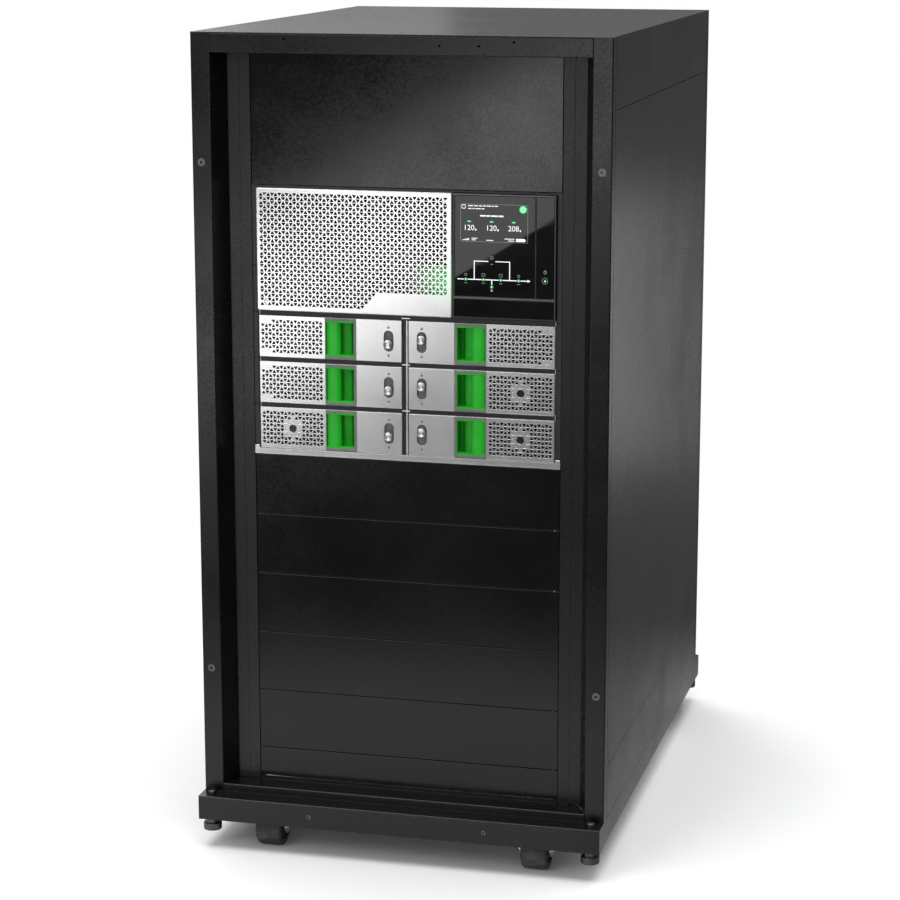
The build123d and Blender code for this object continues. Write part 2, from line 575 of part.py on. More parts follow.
def ups_power_button():
    """Round push button in the narrow strip, with a dished face."""
    y0 = DISPLAY_FRONT - 0.4
    button = rod(BUTTON_RADIUS, (BUTTON_X, y0, BUTTON_Z), (BUTTON_X, y0 + 5.2, BUTTON_Z),
                 (0, 1, 0))
    button = fillet(button.edges().filter_by(GeomType.CIRCLE).sort_by(Axis.Y)[:1], 0.6)
    return button - Pos(BUTTON_X, y0 - 19.6, BUTTON_Z) * Sphere(20)


def ups_rear_panel():
    """Rear plate with vent slots, terminal cover, cable plate and interface card covers."""
    half = UPS_HALF - THIN - 0.3
    z0, z1 = UPS_BOTTOM + 2.0, UPS_TOP - 2.0
    y0, y1 = UPS_REAR - 3, UPS_REAR - 1.5
    plate = block(-half, half, y0, y1, z0, z1)
    for row in range(3):
        for column in range(14):
            for side in (-1, 1):
                x = side * (24 + column * 13.5)
                z = UPS_BOTTOM + 18 + row * MODULE_PITCH
                plate -= block(x - 2.5, x + 2.5, y0 - 1, y1 + 1, z, z + 44)
    z_mid = UPS_BOTTOM + 215
    cover = pan(-190, 10, z_mid, z_mid + 150, 0, 34, 1.5, 1.5)
    cover = Pos(0, y1 + 34, 0) * Rot(0, 0, 180) * cover
    cards = []
    for i in range(3):
        z = z_mid + 8 + i * 46
        card = block(-190, -70, y1, y1 + 1.6, z, z + 36)
        for x in (-184, -76):
            card += rod(3.5, (x, y1 + 1, z + 18), (x, y1 + 8, z + 18), (0, 1, 0))
        cards.append(card)
    return [plate, cover, *cards]


# ---- modules ---------------------------------------------------------------------------
def module_sides(side):
    """X of the module's outer edge, and the direction from it towards the middle."""
    return side * (MODULE_INNER_X + MODULE_WIDTH), -side


def span(edge, inwards, a, b):
    """Two distances from the outer edge as an ordered pair of X."""
    return sorted((edge + inwards * a, edge + inwards * b))


def module_face(side, z0):
    """Face pan with the handle window and the latch slot."""
    edge, inwards = module_sides(side)
    x0, x1 = span(edge, inwards, 0, MODULE_WIDTH)
    face = pan(x0, x1, z0, z0 + MODULE_HEIGHT, MODULE_FRONT, FACE_DEPTH, THIN, 0.7)
    w0, w1 = span(edge, inwards, HANDLE_FROM, HANDLE_TO)
    face -= block(w0, w1, MODULE_FRONT - 1, MODULE_FRONT + 3, z0 + 3.4, z0 + MODULE_HEIGHT - 3.4)
    slot = Plane.XZ * SlotOverall(LATCH_SLOT[1], LATCH_SLOT[0], rotation=90)
    slot = Pos(edge + inwards * LATCH_FROM_EDGE, MODULE_FRONT, z0 + MODULE_HEIGHT / 2) * slot
    return face - extrude(slot, 5, both=True)


def module_handle(side, z0):
    """Green pull: a finger box with a flat grip bar across its outer half."""
    edge, inwards = module_sides(side)
    w0, w1 = span(edge, inwards, HANDLE_FROM + 0.3, HANDLE_TO - 0.3)
    z1 = z0 + MODULE_HEIGHT
    depth = MODULE_FRONT + HANDLE_DEPTH
    body = block(w0, w1, MODULE_FRONT + 0.2, depth, z0 + 3.8, z1 - 3.8)
    i0, i1 = span(edge, inwards, HANDLE_FROM + 1.8, HANDLE_TO - 1.8)
    pocket = block(i0, i1, MODULE_FRONT + 7.5, depth - 1.5, z0 + 5.4, z1 - 5.4)
    m0, m1 = span(edge, inwards, HANDLE_FROM + 22.8, HANDLE_TO - 1.8)
    mouth = block(m0, m1, MODULE_FRONT - 1, MODULE_FRONT + 8, z0 + 5.4, z1 - 5.4)
    body = body - pocket - mouth
    grip = body.edges().filter_by(Axis.Z).filter_by(
        lambda e: abs(e.center().X - (edge + inwards * (HANDLE_FROM + 22.8))) < 0.01)
    return fillet(grip, 1.6)


def module_case(side, z0, power):
    """Sheet case, open at the front, with what it carries inside."""
    edge, inwards = module_sides(side)
    x0, x1 = span(edge, inwards, 1.5, MODULE_WIDTH - 1.5)
    y0 = MODULE_FRONT + FACE_DEPTH
    y1 = y0 + MODULE_DEPTH
    za, zb = z0 + 1.4, z0 + MODULE_HEIGHT - 1.4
    case = block(x0, x1, y0, y1, za, zb)
    case -= block(x0 + THIN, x1 - THIN, y0 - 1, y1 - THIN, za + THIN, zb - THIN)
    a, b = x0 + 8, x1 - 8
    floor = za + THIN
    inside = []
    if power:
        inside.append(block(a, b, y0 + 60, y1 - 12, floor, floor + 1.6))
        sink = block(a + 6, a + 70, y0 + 90, y1 - 60, floor + 1.6, floor + 6)
        for i in range(6):
            x = a + 8 + i * 11.5
            sink += block(x, x + 2, y0 + 90, y1 - 60, floor + 6, floor + 46)
        inside.append(sink)
        for i in range(5):
            y = y0 + 120 + i * 90
            inside.append(rod(16, (b - 40, y, floor + 1.6), (b - 40, y, floor + 42), (0, 0, 1)))
    else:
        for i in range(2):
            y = y0 + 60 + i * 265
            cell = block(a, b, y, y + 255, floor, floor + 50)
            inside.append(cell - block(a + 3, b - 3, y + 3, y + 252, floor + 3, floor + 47))
    return [case, *inside]


def module_latch(side, z0):
    """Sliding latch knob: head, neck through the slot and slider plate behind the face."""
    edge, inwards = module_sides(side)
    x = edge + inwards * LATCH_FROM_EDGE
    z = z0 + MODULE_HEIGHT / 2 + (LATCH_REST if side < 0 else -LATCH_REST)
    proud = MODULE_FRONT - LATCH_PROUD
    head = rod(6.0, (x, proud, z), (x, MODULE_FRONT - 0.4, z), (0, 1, 0))
    head = fillet(head.edges().filter_by(GeomType.CIRCLE), 0.8)
    head -= block(x - 4.2, x + 4.2, proud - 0.6, proud + 0.8, z - 0.6, z + 0.6)
    neck = rod(4.0, (x, MODULE_FRONT - 0.6, z), (x, MODULE_FRONT + 2, z), (0, 1, 0))
    slider = block(x - 9, x + 9, MODULE_FRONT + THIN + 0.4, MODULE_FRONT + THIN + 2.4,
                   z - 13, z + 13)
    return head + neck + slider


# row from the bottom, side, carries power electronics rather than batteries
MODULES = [(2, -1, True), (2, 1, True), (1, -1, True), (1, 1, False), (0, -1, False),
           (0, 1, False)]


def build():
    os.makedirs("parts", exist_ok=True)
    save("base_frame", *base_frame())
    save("corner_posts", *corner_posts())
    save("top_frame", *top_frame())
    save("roof_panel", roof_panel())
    right = side_panels()
    save("right_side_panel", *right)
    save("left_side_panel", *[mirrored(s) for s in right])
    save("front_rails", *front_rails())
    save("rear_rails", *rear_rails())
    save("rail_braces", *rail_braces())
    save("ups_support_angles", *ups_support_angles())
    save("front_baffles", *front_baffles())
    save("filler_panel", blank_panel(UPS_TOP, FILLER_TOP))
    blanks = [blank_panel(RACK_BOTTOM, RACK_BOTTOM + UNIT)]
    for i in range(5):
        z = RACK_BOTTOM + (1 + 2 * i) * UNIT
        blanks.append(blank_panel(z, z + 2 * UNIT))
    save("blank_panels", *blanks)
    save("cabinet_screws", *cabinet_screws())
    for side, s in (("left", -1), ("right", 1)):
        for end, e in (("front", -1), ("rear", 1)):
            save(f"foot_{end}_{side}", levelling_foot(s * FOOT_X, e * (HALF_D - FOOT_INSET)))
            axle_y = e * CASTER_Y - CASTER_TRAIL * (1 if e < 0 else -1)
            save(f"wheel_{end}_{side}", caster_wheel(s * CASTER_X, axle_y))
        save(f"caster_fork_{side}", *caster_fork(s * CASTER_X, -CASTER_Y, -CASTER_TRAIL, True))
    rear_forks = caster_fork(CASTER_X, -CASTER_Y, -CASTER_TRAIL, False)
    save("rear_caster_forks", *[turned(s) for s in rear_forks],
         *[turned(mirrored(s)) for s in rear_forks])
    save("ups_case", ups_case())
    save("ups_shelf_frame", *ups_shelf_frame())
    save("ups_front_frame", ups_front_frame())
    save("ups_bypass_unit", *ups_bypass_unit())
    save("ups_fan_frame", ups_fan_frame())
    save("ups_fan_rotor", ups_fan_rotor())
    save("ups_grille_bezel", ups_grille_bezel())
    save("ups_display_frame", ups_display_frame())
    save("ups_display_glass", *ups_display_glass())
    save("ups_power_button", ups_power_button())
    save("ups_rear_panel", *ups_rear_panel())
    for number, (row, side, power) in enumerate(MODULES, 1):
        z0 = MODULE_LOWEST + row * MODULE_PITCH
        save(f"module_{number}_case", *module_case(side, z0, power))
        save(f"module_{number}_face", module_face(side, z0))
        save(f"module_{number}_handle", module_handle(side, z0))
        save(f"module_{number}_latch", module_latch(side, z0))


build()
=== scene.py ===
"""Looks for the rackmount UPS: materials, perforated faces, display, lights and camera."""

import json
import math

import bmesh
import bpy
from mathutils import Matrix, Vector
from mathutils.geometry import delaunay_2d_cdt

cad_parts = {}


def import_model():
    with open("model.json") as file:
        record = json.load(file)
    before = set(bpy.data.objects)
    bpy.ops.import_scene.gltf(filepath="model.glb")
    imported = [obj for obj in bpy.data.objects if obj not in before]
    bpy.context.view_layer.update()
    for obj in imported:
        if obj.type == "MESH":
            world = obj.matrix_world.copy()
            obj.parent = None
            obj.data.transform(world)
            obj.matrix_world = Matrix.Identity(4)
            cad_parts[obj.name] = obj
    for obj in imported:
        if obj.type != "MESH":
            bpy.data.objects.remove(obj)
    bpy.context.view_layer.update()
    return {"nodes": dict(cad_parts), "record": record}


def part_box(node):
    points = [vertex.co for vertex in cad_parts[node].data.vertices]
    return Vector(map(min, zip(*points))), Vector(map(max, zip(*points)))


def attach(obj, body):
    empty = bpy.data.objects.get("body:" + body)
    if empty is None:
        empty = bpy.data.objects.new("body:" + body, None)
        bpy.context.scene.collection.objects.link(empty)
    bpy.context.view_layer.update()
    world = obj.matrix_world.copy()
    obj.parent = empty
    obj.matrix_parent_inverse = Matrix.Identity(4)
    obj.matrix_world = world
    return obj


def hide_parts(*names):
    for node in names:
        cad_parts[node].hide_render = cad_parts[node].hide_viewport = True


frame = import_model()
MM = 0.001

# ---- places read from the frame, in millimetres ------------------------------------------


def node_box(node):
    """Lowest and highest corner of a CAD node, in millimetres."""
    low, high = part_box(node)
    return low / MM, high / MM


MODULES = range(1, 7)
BATTERY_MODULES = (4, 5, 6)
BEZEL_LOW, BEZEL_HIGH = node_box("ups_grille_bezel")
GLASS_LOW = node_box("ups_display_glass")[0]
DISPLAY_LOW, DISPLAY_HIGH = node_box("ups_display_frame")
BUTTON_LOW, BUTTON_HIGH = node_box("ups_power_button")
TRIM_LOW, TRIM_HIGH = node_box("ups_front_frame")
UPS_BASE = TRIM_LOW.z - 0.5     # foot of the UPS's place in the rack, just under its tray lip

# ---- perforation pattern and face details ------------------------------------------------
BEZEL_PITCH = (5.49, 6.0)
BEZEL_MARGIN = (6.0, 9.3)   # plain border beside and above the perforated field
BEZEL_FIRST = 7.6           # middle of the first column, from the bezel's left edge
BEZEL_ROWS = 27
FULL_ROWS = 23              # rows that run right across the bezel
CUT_X, CUT_STEP = -45.0, 4.6   # the shorter rows end at this X, further left row by row
BEZEL_TRIANGLE = (6.2, 4.9)    # base and height of one hole
STUD_INSET = 12.0           # snap studs, from the bezel's edges
GLOW_Z = 262.0              # middle of the bezel's light, above the foot of the UPS
MODULE_PITCH = (5.4, 6.14)
MODULE_FIRST = (92.0, 8.5)  # first hole of a module, from its outer and upper edge
MODULE_COLUMNS, MODULE_ROWS = 17, 8
MODULE_TRIANGLE = (5.9, 4.8)
LAMP_BLANK = 7.2            # no holes this near the middle of a battery lamp
LAMP_CLOSED = 15.5          # holes this near it are only pressed in
LAMP_RADIUS = 5.6
WINDOW = (98.4, 144.4)      # handle window, from the module's outer edge
OPENING = (99.6, 140.6)     # what the handle surround leaves open of it
LATCH_FROM_EDGE = 192.0
SLOT = (14.0, 30.0)
SLIDER_EXTRA = 7.0          # the slider behind the slot runs past the knob plate
ROW_PITCH = 1.5 * 44.45     # module rows are one and a half rack units apart


# ---- node helpers ------------------------------------------------------------------------
class Shader:
    """A material's node tree with short ways to add nodes."""

    def __init__(self, name, **principled):
        self.material = bpy.data.materials.new(name)
        self.material.use_nodes = True
        self.nodes = self.material.node_tree.nodes
        self.links = self.material.node_tree.links
        self.principled = self.nodes["Principled BSDF"]
        self.set(self.principled, **principled)

    @staticmethod
    def set(node, **values):
        for key, value in values.items():
            node.inputs[key.replace("_", " ")].default_value = value

    def add(self, kind, inputs=None, **settings):
        """A node with its settings, and its inputs given as numbers or as other sockets."""
        node = self.nodes.new("ShaderNode" + kind)
        for key, value in settings.items():
            setattr(node, key, value)
        for key, value in (inputs or {}).items():
            if isinstance(value, bpy.types.NodeSocket):
                self.links.new(value, node.inputs[key])
            else:
                node.inputs[key].default_value = value
        return node

    def place(self, scale=(1, 1, 1)):
        """The point on the piece, in metres, stretched by scale."""
        spot = self.add("TexCoord").outputs["Object"]
        return self.add("Mapping", {"Vector": spot, "Scale": scale}).outputs["Vector"]

    def noise(self, scale, detail=3.0, stretch=(1, 1, 1), rough=0.55):
        return self.add("TexNoise", {"Vector": self.place(stretch), "Scale": scale,
                                     "Detail": detail, "Roughness": rough}).outputs["Fac"]

    def span(self, value, low, high, from_low=0.3, from_high=0.7):
        """A value spread between two numbers."""
        return self.add("MapRange", {"Value": value, "From Min": from_low, "From Max": from_high,
                                     "To Min": low, "To Max": high}).outputs["Result"]

    def math(self, operation, a, b):
        return self.add("Math", {0: a, 1: b}, operation=operation).outputs[0]

    def blend(self, factor, a, b):
        """A colour between two others."""
        mix = self.add("Mix", {0: factor, 6: a, 7: b}, data_type="RGBA")
        return mix.outputs[2]

    def edge(self, radius):
        """1 along sharp edges and corners, 0 on flats."""
        bevel = self.add("Bevel", {"Radius": radius}, samples=4).outputs["Normal"]
        true = self.add("NewGeometry").outputs["Normal"]
        dot = self.add("VectorMath", {0: bevel, 1: true}, operation="DOT_PRODUCT").outputs["Value"]
        return self.span(dot, 1.0, 0.0, 0.75, 0.99)

    def surface(self, colour=None, roughness=None, bumps=(), rounding=0.0):
        """Joins colour, roughness and a stack of (height, metres) bumps to the surface."""
        normal = None
        if rounding:
            normal = self.add("Bevel", {"Radius": rounding}, samples=4).outputs["Normal"]
        for height, distance in bumps:
            inputs = {"Height": height, "Distance": distance, "Strength": 1.0}
            if normal is not None:
                inputs["Normal"] = normal
            normal = self.add("Bump", inputs).outputs["Normal"]
        target = self.principled.inputs
        for socket, value in (("Base Color", colour), ("Roughness", roughness),
                              ("Normal", normal)):
            if value is not None:
                self.links.new(value, target[socket])
        return self.material


def grey(value, warm=0.0):
    return (value * (1 + warm), value, value * (1 - warm), 1.0)


# ---- materials ---------------------------------------------------------------------------
def powder_coat(name, base, roughness, peel=0.000007, specular=0.38):
    """Satin powder coat: orange peel, faint cloudiness, and edges lightened in noisy patches, partly
    as rubbed wear and partly as a painted edge highlight.
    """
    s = Shader(name, Specular_IOR_Level=specular)
    cloud = s.noise(7.0, 4.0)
    # edges lightened in noisy patches: partly rubbed wear, partly a painted highlight along the edges
    wear_and_edge_highlight = s.math("MULTIPLY", s.edge(0.001), s.span(s.noise(60.0, 4.0), 0.0, 1.0, 0.42, 0.62))
    body = s.blend(s.span(cloud, 0.0, 1.0), grey(base), grey(base * 1.35))
    colour = s.blend(s.math("MULTIPLY", wear_and_edge_highlight, 0.5), body, grey(base * 6.0))
    rough = s.math("ADD", s.span(cloud, roughness - 0.04, roughness + 0.04),
                   s.span(s.noise(340.0, 2.0), -0.04, 0.04))
    return s.surface(colour, rough, [(s.noise(520.0, 2.0), peel), (s.noise(1500.0, 1.0), peel / 3)],
                     0.0006)


def silver_coat(name, base, roughness, lit_from=None):
    """Fine metallic silver paint with a soft flake sparkle, and light spilling over it."""
    s = Shader(name, Metallic=0.75, Specular_IOR_Level=0.5)
    flake = s.add("TexVoronoi", {"Vector": s.place(), "Scale": 2600.0}).outputs["Color"]
    flake = s.add("SeparateColor", {"Color": flake}).outputs["Red"]
    cloud = s.noise(11.0, 3.0)
    tone = s.math("ADD", s.span(flake, -0.3, 0.3, 0.0, 1.0), s.span(cloud, -0.5, 0.5))
    colour = s.blend(s.span(tone, 0.0, 1.0, -0.8, 0.8), grey(base * 0.96), grey(base * 1.03))
    rough = s.math("ADD", s.span(flake, -0.015, 0.015, 0.0, 1.0),
                   s.span(cloud, roughness - 0.02, roughness + 0.02))
    if lit_from:
        offset = s.add("VectorMath", {0: s.place(), 1: lit_from}, operation="DISTANCE")
        near = s.span(offset.outputs["Value"], 1.0, 0.0, 0.0, 0.05)
        s.set(s.principled, Emission_Color=(0.1, 0.8, 0.16, 1.0))
        s.links.new(s.math("MULTIPLY", near, 0.22), s.principled.inputs["Emission Strength"])
    return s.surface(colour, rough, [(s.noise(420.0, 2.0), 0.000002)])


def zinc_plate(name, base, roughness, grain=(1, 1, 14)):
    """Plated steel with fine drawn grain and cloudy passivation."""
    s = Shader(name, Metallic=1.0)
    grain_fac = s.noise(260.0, 4.0, grain)
    cloud = s.noise(22.0, 3.0)
    colour = s.blend(s.span(cloud, 0.0, 1.0), grey(base * 0.82, 0.02), grey(base * 1.1, -0.01))
    rough = s.math("ADD", s.span(cloud, roughness - 0.06, roughness + 0.06),
                   s.span(grain_fac, -0.06, 0.06))
    return s.surface(colour, rough, [(grain_fac, 0.00002)], 0.0003)


def galvanised(name, base):
    """Spangled galvanised sheet."""
    s = Shader(name, Metallic=0.9)
    cell = s.add("TexVoronoi", {"Vector": s.place(), "Scale": 85.0}).outputs["Color"]
    cell = s.add("SeparateColor", {"Color": cell}).outputs["Red"]
    mixed = s.math("ADD", s.math("MULTIPLY", cell, 0.6), s.math("MULTIPLY", s.noise(30.0), 0.4))
    colour = s.blend(s.span(mixed, 0.0, 1.0, 0.2, 0.8), grey(base * 0.8), grey(base * 1.15))
    rough = s.span(mixed, 0.34, 0.52, 0.2, 0.8)
    return s.surface(colour, rough, [(s.noise(700.0, 2.0), 0.000015)], 0.0003)


def moulded(name, colour, roughness, grain=0.00002, specular=0.5, coat=0.0):
    """Injection moulded plastic with a fine spark-eroded grain."""
    s = Shader(name, Specular_IOR_Level=specular, Coat_Weight=coat, Coat_Roughness=0.2)
    cloud = s.noise(18.0, 3.0)
    dark = tuple(c * 0.85 for c in colour)
    light = tuple(min(1.0, c * 1.12) for c in colour)
    tint = s.blend(s.span(cloud, 0.0, 1.0), (*dark, 1.0), (*light, 1.0))
    rough = s.math("ADD", s.span(cloud, roughness - 0.03, roughness + 0.03),
                   s.span(s.noise(900.0, 2.0), -0.03, 0.03))
    return s.surface(tint, rough, [(s.noise(1300.0, 2.0), grain)], 0.0004)


def rubber(name):
    """Polyurethane tread, scuffed where it rolls."""
    s = Shader(name, Specular_IOR_Level=0.35)
    scuff = s.noise(90.0, 5.0, (0.3, 1, 1))
    colour = s.blend(s.span(scuff, 0.0, 1.0, 0.45, 0.7), grey(0.022), grey(0.075, 0.02))
    return s.surface(colour, s.span(scuff, 0.5, 0.75), [(scuff, 0.00008)], 0.0006)


def foam(name):
    """Open black filter foam."""
    s = Shader(name, Specular_IOR_Level=0.1, Roughness=0.95)
    cells = s.add("TexVoronoi", {"Vector": s.place(), "Scale": 700.0}).outputs["Distance"]
    colour = s.blend(s.span(cells, 0.0, 1.0, 0.1, 0.6), grey(0.0008), grey(0.004))
    return s.surface(colour, None, [(cells, 0.0006)])


def black_glass(name):
    """Cover window: deep black, polished, with faint wipe marks."""
    s = Shader(name, Specular_IOR_Level=0.24)
    wipe = s.noise(24.0, 5.0, (1, 1, 3))
    colour = s.blend(s.span(wipe, 0.0, 1.0), grey(0.0045), grey(0.008))
    return s.surface(colour, s.span(wipe, 0.012, 0.035, 0.35, 0.7))


def glowing(name, colour, strength, spread=0.1):
    """A lit mark, a little uneven as printed light guides are."""
    s = Shader(name, Roughness=0.4)
    s.set(s.principled, Emission_Color=(*colour, 1.0))
    uneven = s.span(s.noise(260.0, 2.0), strength * (1 - spread), strength * (1 + spread))
    s.links.new(uneven, s.principled.inputs["Emission Strength"])
    tint = s.blend(s.noise(120.0), (*(c * 0.4 for c in colour), 1.0),
                   (*(c * 0.6 for c in colour), 1.0))
    return s.surface(tint)


def printed(name, value):
    """Pad-printed ink with slightly ragged cover."""
    s = Shader(name, Specular_IOR_Level=0.3)
    ink = s.noise(900.0, 3.0)
    colour = s.blend(s.span(ink, 0.0, 1.0), grey(value * 0.85), grey(value * 1.15))
    return s.surface(colour, s.span(ink, 0.45, 0.6), [(ink, 0.000008)])


def studio_white(name):
    """Plain pale studio floor that fades out towards its rim.

    It shows from above only, and the gloss of the cabinet's right side hardly mirrors it.
    """
    s = Shader(name, Specular_IOR_Level=0.1)
    mottle = s.noise(3.0, 4.0)
    colour = s.blend(s.span(mottle, 0.0, 1.0), grey(0.88), grey(0.9))
    place = s.add("TexCoord").outputs["Object"]
    radius = s.add("VectorMath", {0: place}, operation="LENGTH").outputs["Value"]
    across = s.add("SeparateXYZ", {0: place}).outputs["X"]
    mirrored = s.add("LightPath").outputs["Is Glossy Ray"]
    cover = s.math("MULTIPLY", s.span(radius, 1.0, 0.0, FLOOR_SOLID, FLOOR_RADIUS),
                   s.span(mirrored, 1.0, s.span(across, 0.85, 0.12, 0.35, 0.6), 0.0, 1.0))
    beneath = s.add("NewGeometry").outputs["Backfacing"]
    cover = s.math("MULTIPLY", cover, s.math("SUBTRACT", 1.0, beneath))
    s.links.new(cover, s.principled.inputs["Alpha"])
    return s.surface(colour, s.span(mottle, 0.75, 0.85))


FLOOR_AT = (-0.15, -0.3)
FLOOR_SOLID, FLOOR_RADIUS = 0.8, 1.35   # metres from its middle: solid so far, gone at the rim
SILVER_BASE, SILVER_ROUGHNESS = 0.62, 0.2

MATERIALS = {
    "cabinet_black": powder_coat("cabinet powder coat", 0.0036, 0.25),
    "rail_black": powder_coat("rail powder coat", 0.006, 0.3),
    "panel_black": powder_coat("panel powder coat", 0.0036, 0.15, specular=0.34),
    "ups_dark": powder_coat("shelf coating", 0.02, 0.36),
    "ups_rear": powder_coat("rear panel coating", 0.03, 0.5),
    "dark_zinc": zinc_plate("black zinc plate", 0.15, 0.32),
    "zinc": zinc_plate("bright zinc plate", 0.62, 0.3),
    "foot_zinc": zinc_plate("foot plating", 0.1, 0.4),
    "latch_steel": zinc_plate("satin nickel plate", 0.72, 0.26, (1, 1, 1)),
    "galvanised": galvanised("galvanised sheet", 0.5),
    "ups_silver": silver_coat("silver paint", SILVER_BASE, SILVER_ROUGHNESS),
    "fan_black": moulded("fan plastic", (0.02, 0.02, 0.021), 0.4),
    "display_black": moulded("display housing", (0.013, 0.013, 0.014), 0.32),
    "button_black": moulded("button plastic", (0.012, 0.012, 0.012), 0.2),
    "handle_green": moulded("green handle plastic", (0.006, 0.46, 0.01), 0.36, coat=0.1),
    "wheel_black": rubber("wheel tread"),
    "display_glass": black_glass("display window"),
    "latch_slider": zinc_plate("grey zinc plate", 0.17, 0.42),
}
FOAM = foam("filter foam")
SURROUND = moulded("handle surround", (0.17, 0.18, 0.17), 0.36)
INK = printed("grey ink", 0.22)
WHITE_GLOW = glowing("white display light", (0.92, 0.96, 1.0), 0.85)
GREEN_GLOW = glowing("green display light", (0.1, 0.75, 0.25), 0.9)
PALE_GREEN = glowing("pale green light", (0.55, 1.0, 0.65), 1.0)
GREY_GLOW = glowing("dim display light", (0.5, 0.55, 0.55), 0.3)
LENS = moulded("status lens", (0.01, 0.011, 0.01), 0.1, coat=0.6)

for subpart in frame["record"]["subparts"]:
    mesh = frame["nodes"][subpart["node"]].data
    mesh.materials.clear()
    mesh.materials.append(MATERIALS[subpart["material_slot"]])


# ---- mesh building -----------------------------------------------------------------------
class Build:
    """Collects vertices (in millimetres) and faces, and makes one piece from them."""

    def __init__(self):
        self.points, self.faces = [], []

    def add_points(self, points):
        first = len(self.points)
        self.points += points
        return list(range(first, len(self.points)))

    def loop(self, outline, y):
        """A closed line of (x, z) points at one depth."""
        return self.add_points([(x, y, z) for x, z in outline])

    def wall(self, a, b):
        """Quads from one loop to another with as many points."""
        n = len(a)
        for i in range(n):
            j = (i + 1) % n
            self.faces.append((a[i], a[j], b[j], b[i]))

    def cap(self, outline, holes, y):
        """A flat face at one depth, inside the outline and outside the holes."""
        loops = [outline, *holes]
        points = [Vector(p) for line in loops for p in line]
        rings, first = [], 0
        for line in loops:
            rings.append(list(range(first, first + len(line))))
            first += len(line)
        out = delaunay_2d_cdt(points, [], rings, 1, 1e-5)
        index = self.add_points([(p[0], y, p[1]) for p in out[0]])
        for face, origin in zip(out[2], out[5]):
            if list(origin) == [0]:
                self.faces.append(tuple(index[i] for i in face))

    def piece(self, name, body, slot, material, smooth=30.0):
        """Makes the object, closes its seams, and hangs it on its body."""
        mesh = bpy.data.meshes.new(name)
        mesh.from_pydata([Vector(p) * MM for p in self.points], [], self.faces)
        work = bmesh.new()
        work.from_mesh(mesh)
        bmesh.ops.remove_doubles(work, verts=work.verts, dist=1e-6)
        bmesh.ops.recalc_face_normals(work, faces=work.faces)
        work.to_mesh(mesh)
        work.free()
        mesh.materials.append(material)
        mesh.set_sharp_from_angle(angle=math.radians(smooth))
        for polygon in mesh.polygons:   # faces square to Y are plain flats
            polygon.use_smooth = abs(polygon.normal.y) < 0.999
        obj = bpy.data.objects.new(name, mesh)
        bpy.context.scene.collection.objects.link(obj)
        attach(obj, body)
        return obj


def join(build, part):
    """Adds one mesh's points and faces to another."""
    first = len(build.points)
    build.points += part.points
    build.faces += [tuple(i + first for i in face) for face in part.faces]


def rounded_rectangle(x0, x1, z0, z1, radius, steps=4):
    """Corner points of a rectangle with round corners, anticlockwise."""
    line = []
    for cx, cz, start in ((x1 - radius, z0 + radius, -90), (x1 - radius, z1 - radius, 0),
                          (x0 + radius, z1 - radius, 90), (x0 + radius, z0 + radius, 180)):
        for i in range(steps + 1):
            a = math.radians(start + 90 * i / steps)
            line.append((cx + radius * math.cos(a), cz + radius * math.sin(a)))
    return line


def circle(x, z, radius, steps=32):
    return [(x + radius * math.cos(2 * math.pi * i / steps),
             z + radius * math.sin(2 * math.pi * i / steps)) for i in range(steps)]


def obround(x, z, width, height, steps=12):
    """An upright slot with round ends, anticlockwise."""
    r, rise = width / 2, height / 2 - width / 2
    line = []
    for centre, start in ((z + rise, 0), (z - rise, 180)):
        for i in range(steps + 1):
            a = math.radians(start + 180 * i / steps)
            line.append((x + r * math.cos(a), centre + r * math.sin(a)))
    return line


def triangle_hole(x, z, up, triangle, corner=0.45):
    """A triangular hole with its corners cut, anticlockwise."""
    base, height = triangle
    flip = 1 if up else -1
    tips = [(x - base / 2, z - flip * height / 2), (x + base / 2, z - flip * height / 2),
            (x, z + flip * height / 2)]
    if not up:
        tips.reverse()
    line = []
    for i, (px, pz) in enumerate(tips):
        for other in (tips[i - 1], tips[(i + 1) % 3]):
            side = math.hypot(other[0] - px, other[1] - pz)
            line.append((px + (other[0] - px) * corner / side,
                         pz + (other[1] - pz) * corner / side))
    return line


def grown(line, by):
    """A closed line moved outwards, anticlockwise lines only."""
    out = []
    n = len(line)
    for i, (x, z) in enumerate(line):
        normals = []
        for a, b in ((line[i - 1], (x, z)), ((x, z), line[(i + 1) % n])):
            dx, dz = b[0] - a[0], b[1] - a[1]
            size = math.hypot(dx, dz)
            normals.append((dz / size, -dx / size))
        (ax, az), (bx, bz) = normals
        scale = by / (1 + ax * bx + az * bz)
        out.append((x + (ax + bx) * scale, z + (az + bz) * scale))
    return out


def sheet_pan(box, depth, wall, edge, holes, blind=(), chamfer=0.15, corner=1.0, blind_depth=0.5):
    """A sheet pan with a rounded front edge, through holes and shallow blind recesses."""
    x0, x1, z0, z1, y = box
    b = Build()

    def outline(inset):
        return rounded_rectangle(x0 + inset, x1 - inset, z0 + inset, z1 - inset,
                                 max(corner - inset * 0.5, 0.2))

    rim = None
    for i in range(5):
        a = math.radians(90 * i / 4)
        ring = b.loop(outline(edge * (1 - math.sin(a))), y + edge * (1 - math.cos(a)))
        if rim is not None:
            b.wall(rim, ring)
        rim = ring
    for inset, at in ((0.0, depth), (wall, depth), (wall, wall)):
        ring = b.loop(outline(inset), y + at)
        b.wall(rim, ring)
        rim = ring
    front = [grown(line, chamfer) for line in (*holes, *blind)]
    b.cap(outline(edge), front, y)
    b.cap(outline(wall), holes, y + wall)
    for line, back in [(line, wall) for line in holes] + [(line, blind_depth) for line in blind]:
        rings = [b.loop(grown(line, chamfer), y), b.loop(line, y + chamfer), b.loop(line, y + back)]
        b.wall(rings[0], rings[1])
        b.wall(rings[1], rings[2])
    for line in blind:
        b.faces.append(tuple(b.loop(line, y + blind_depth)))
    return b


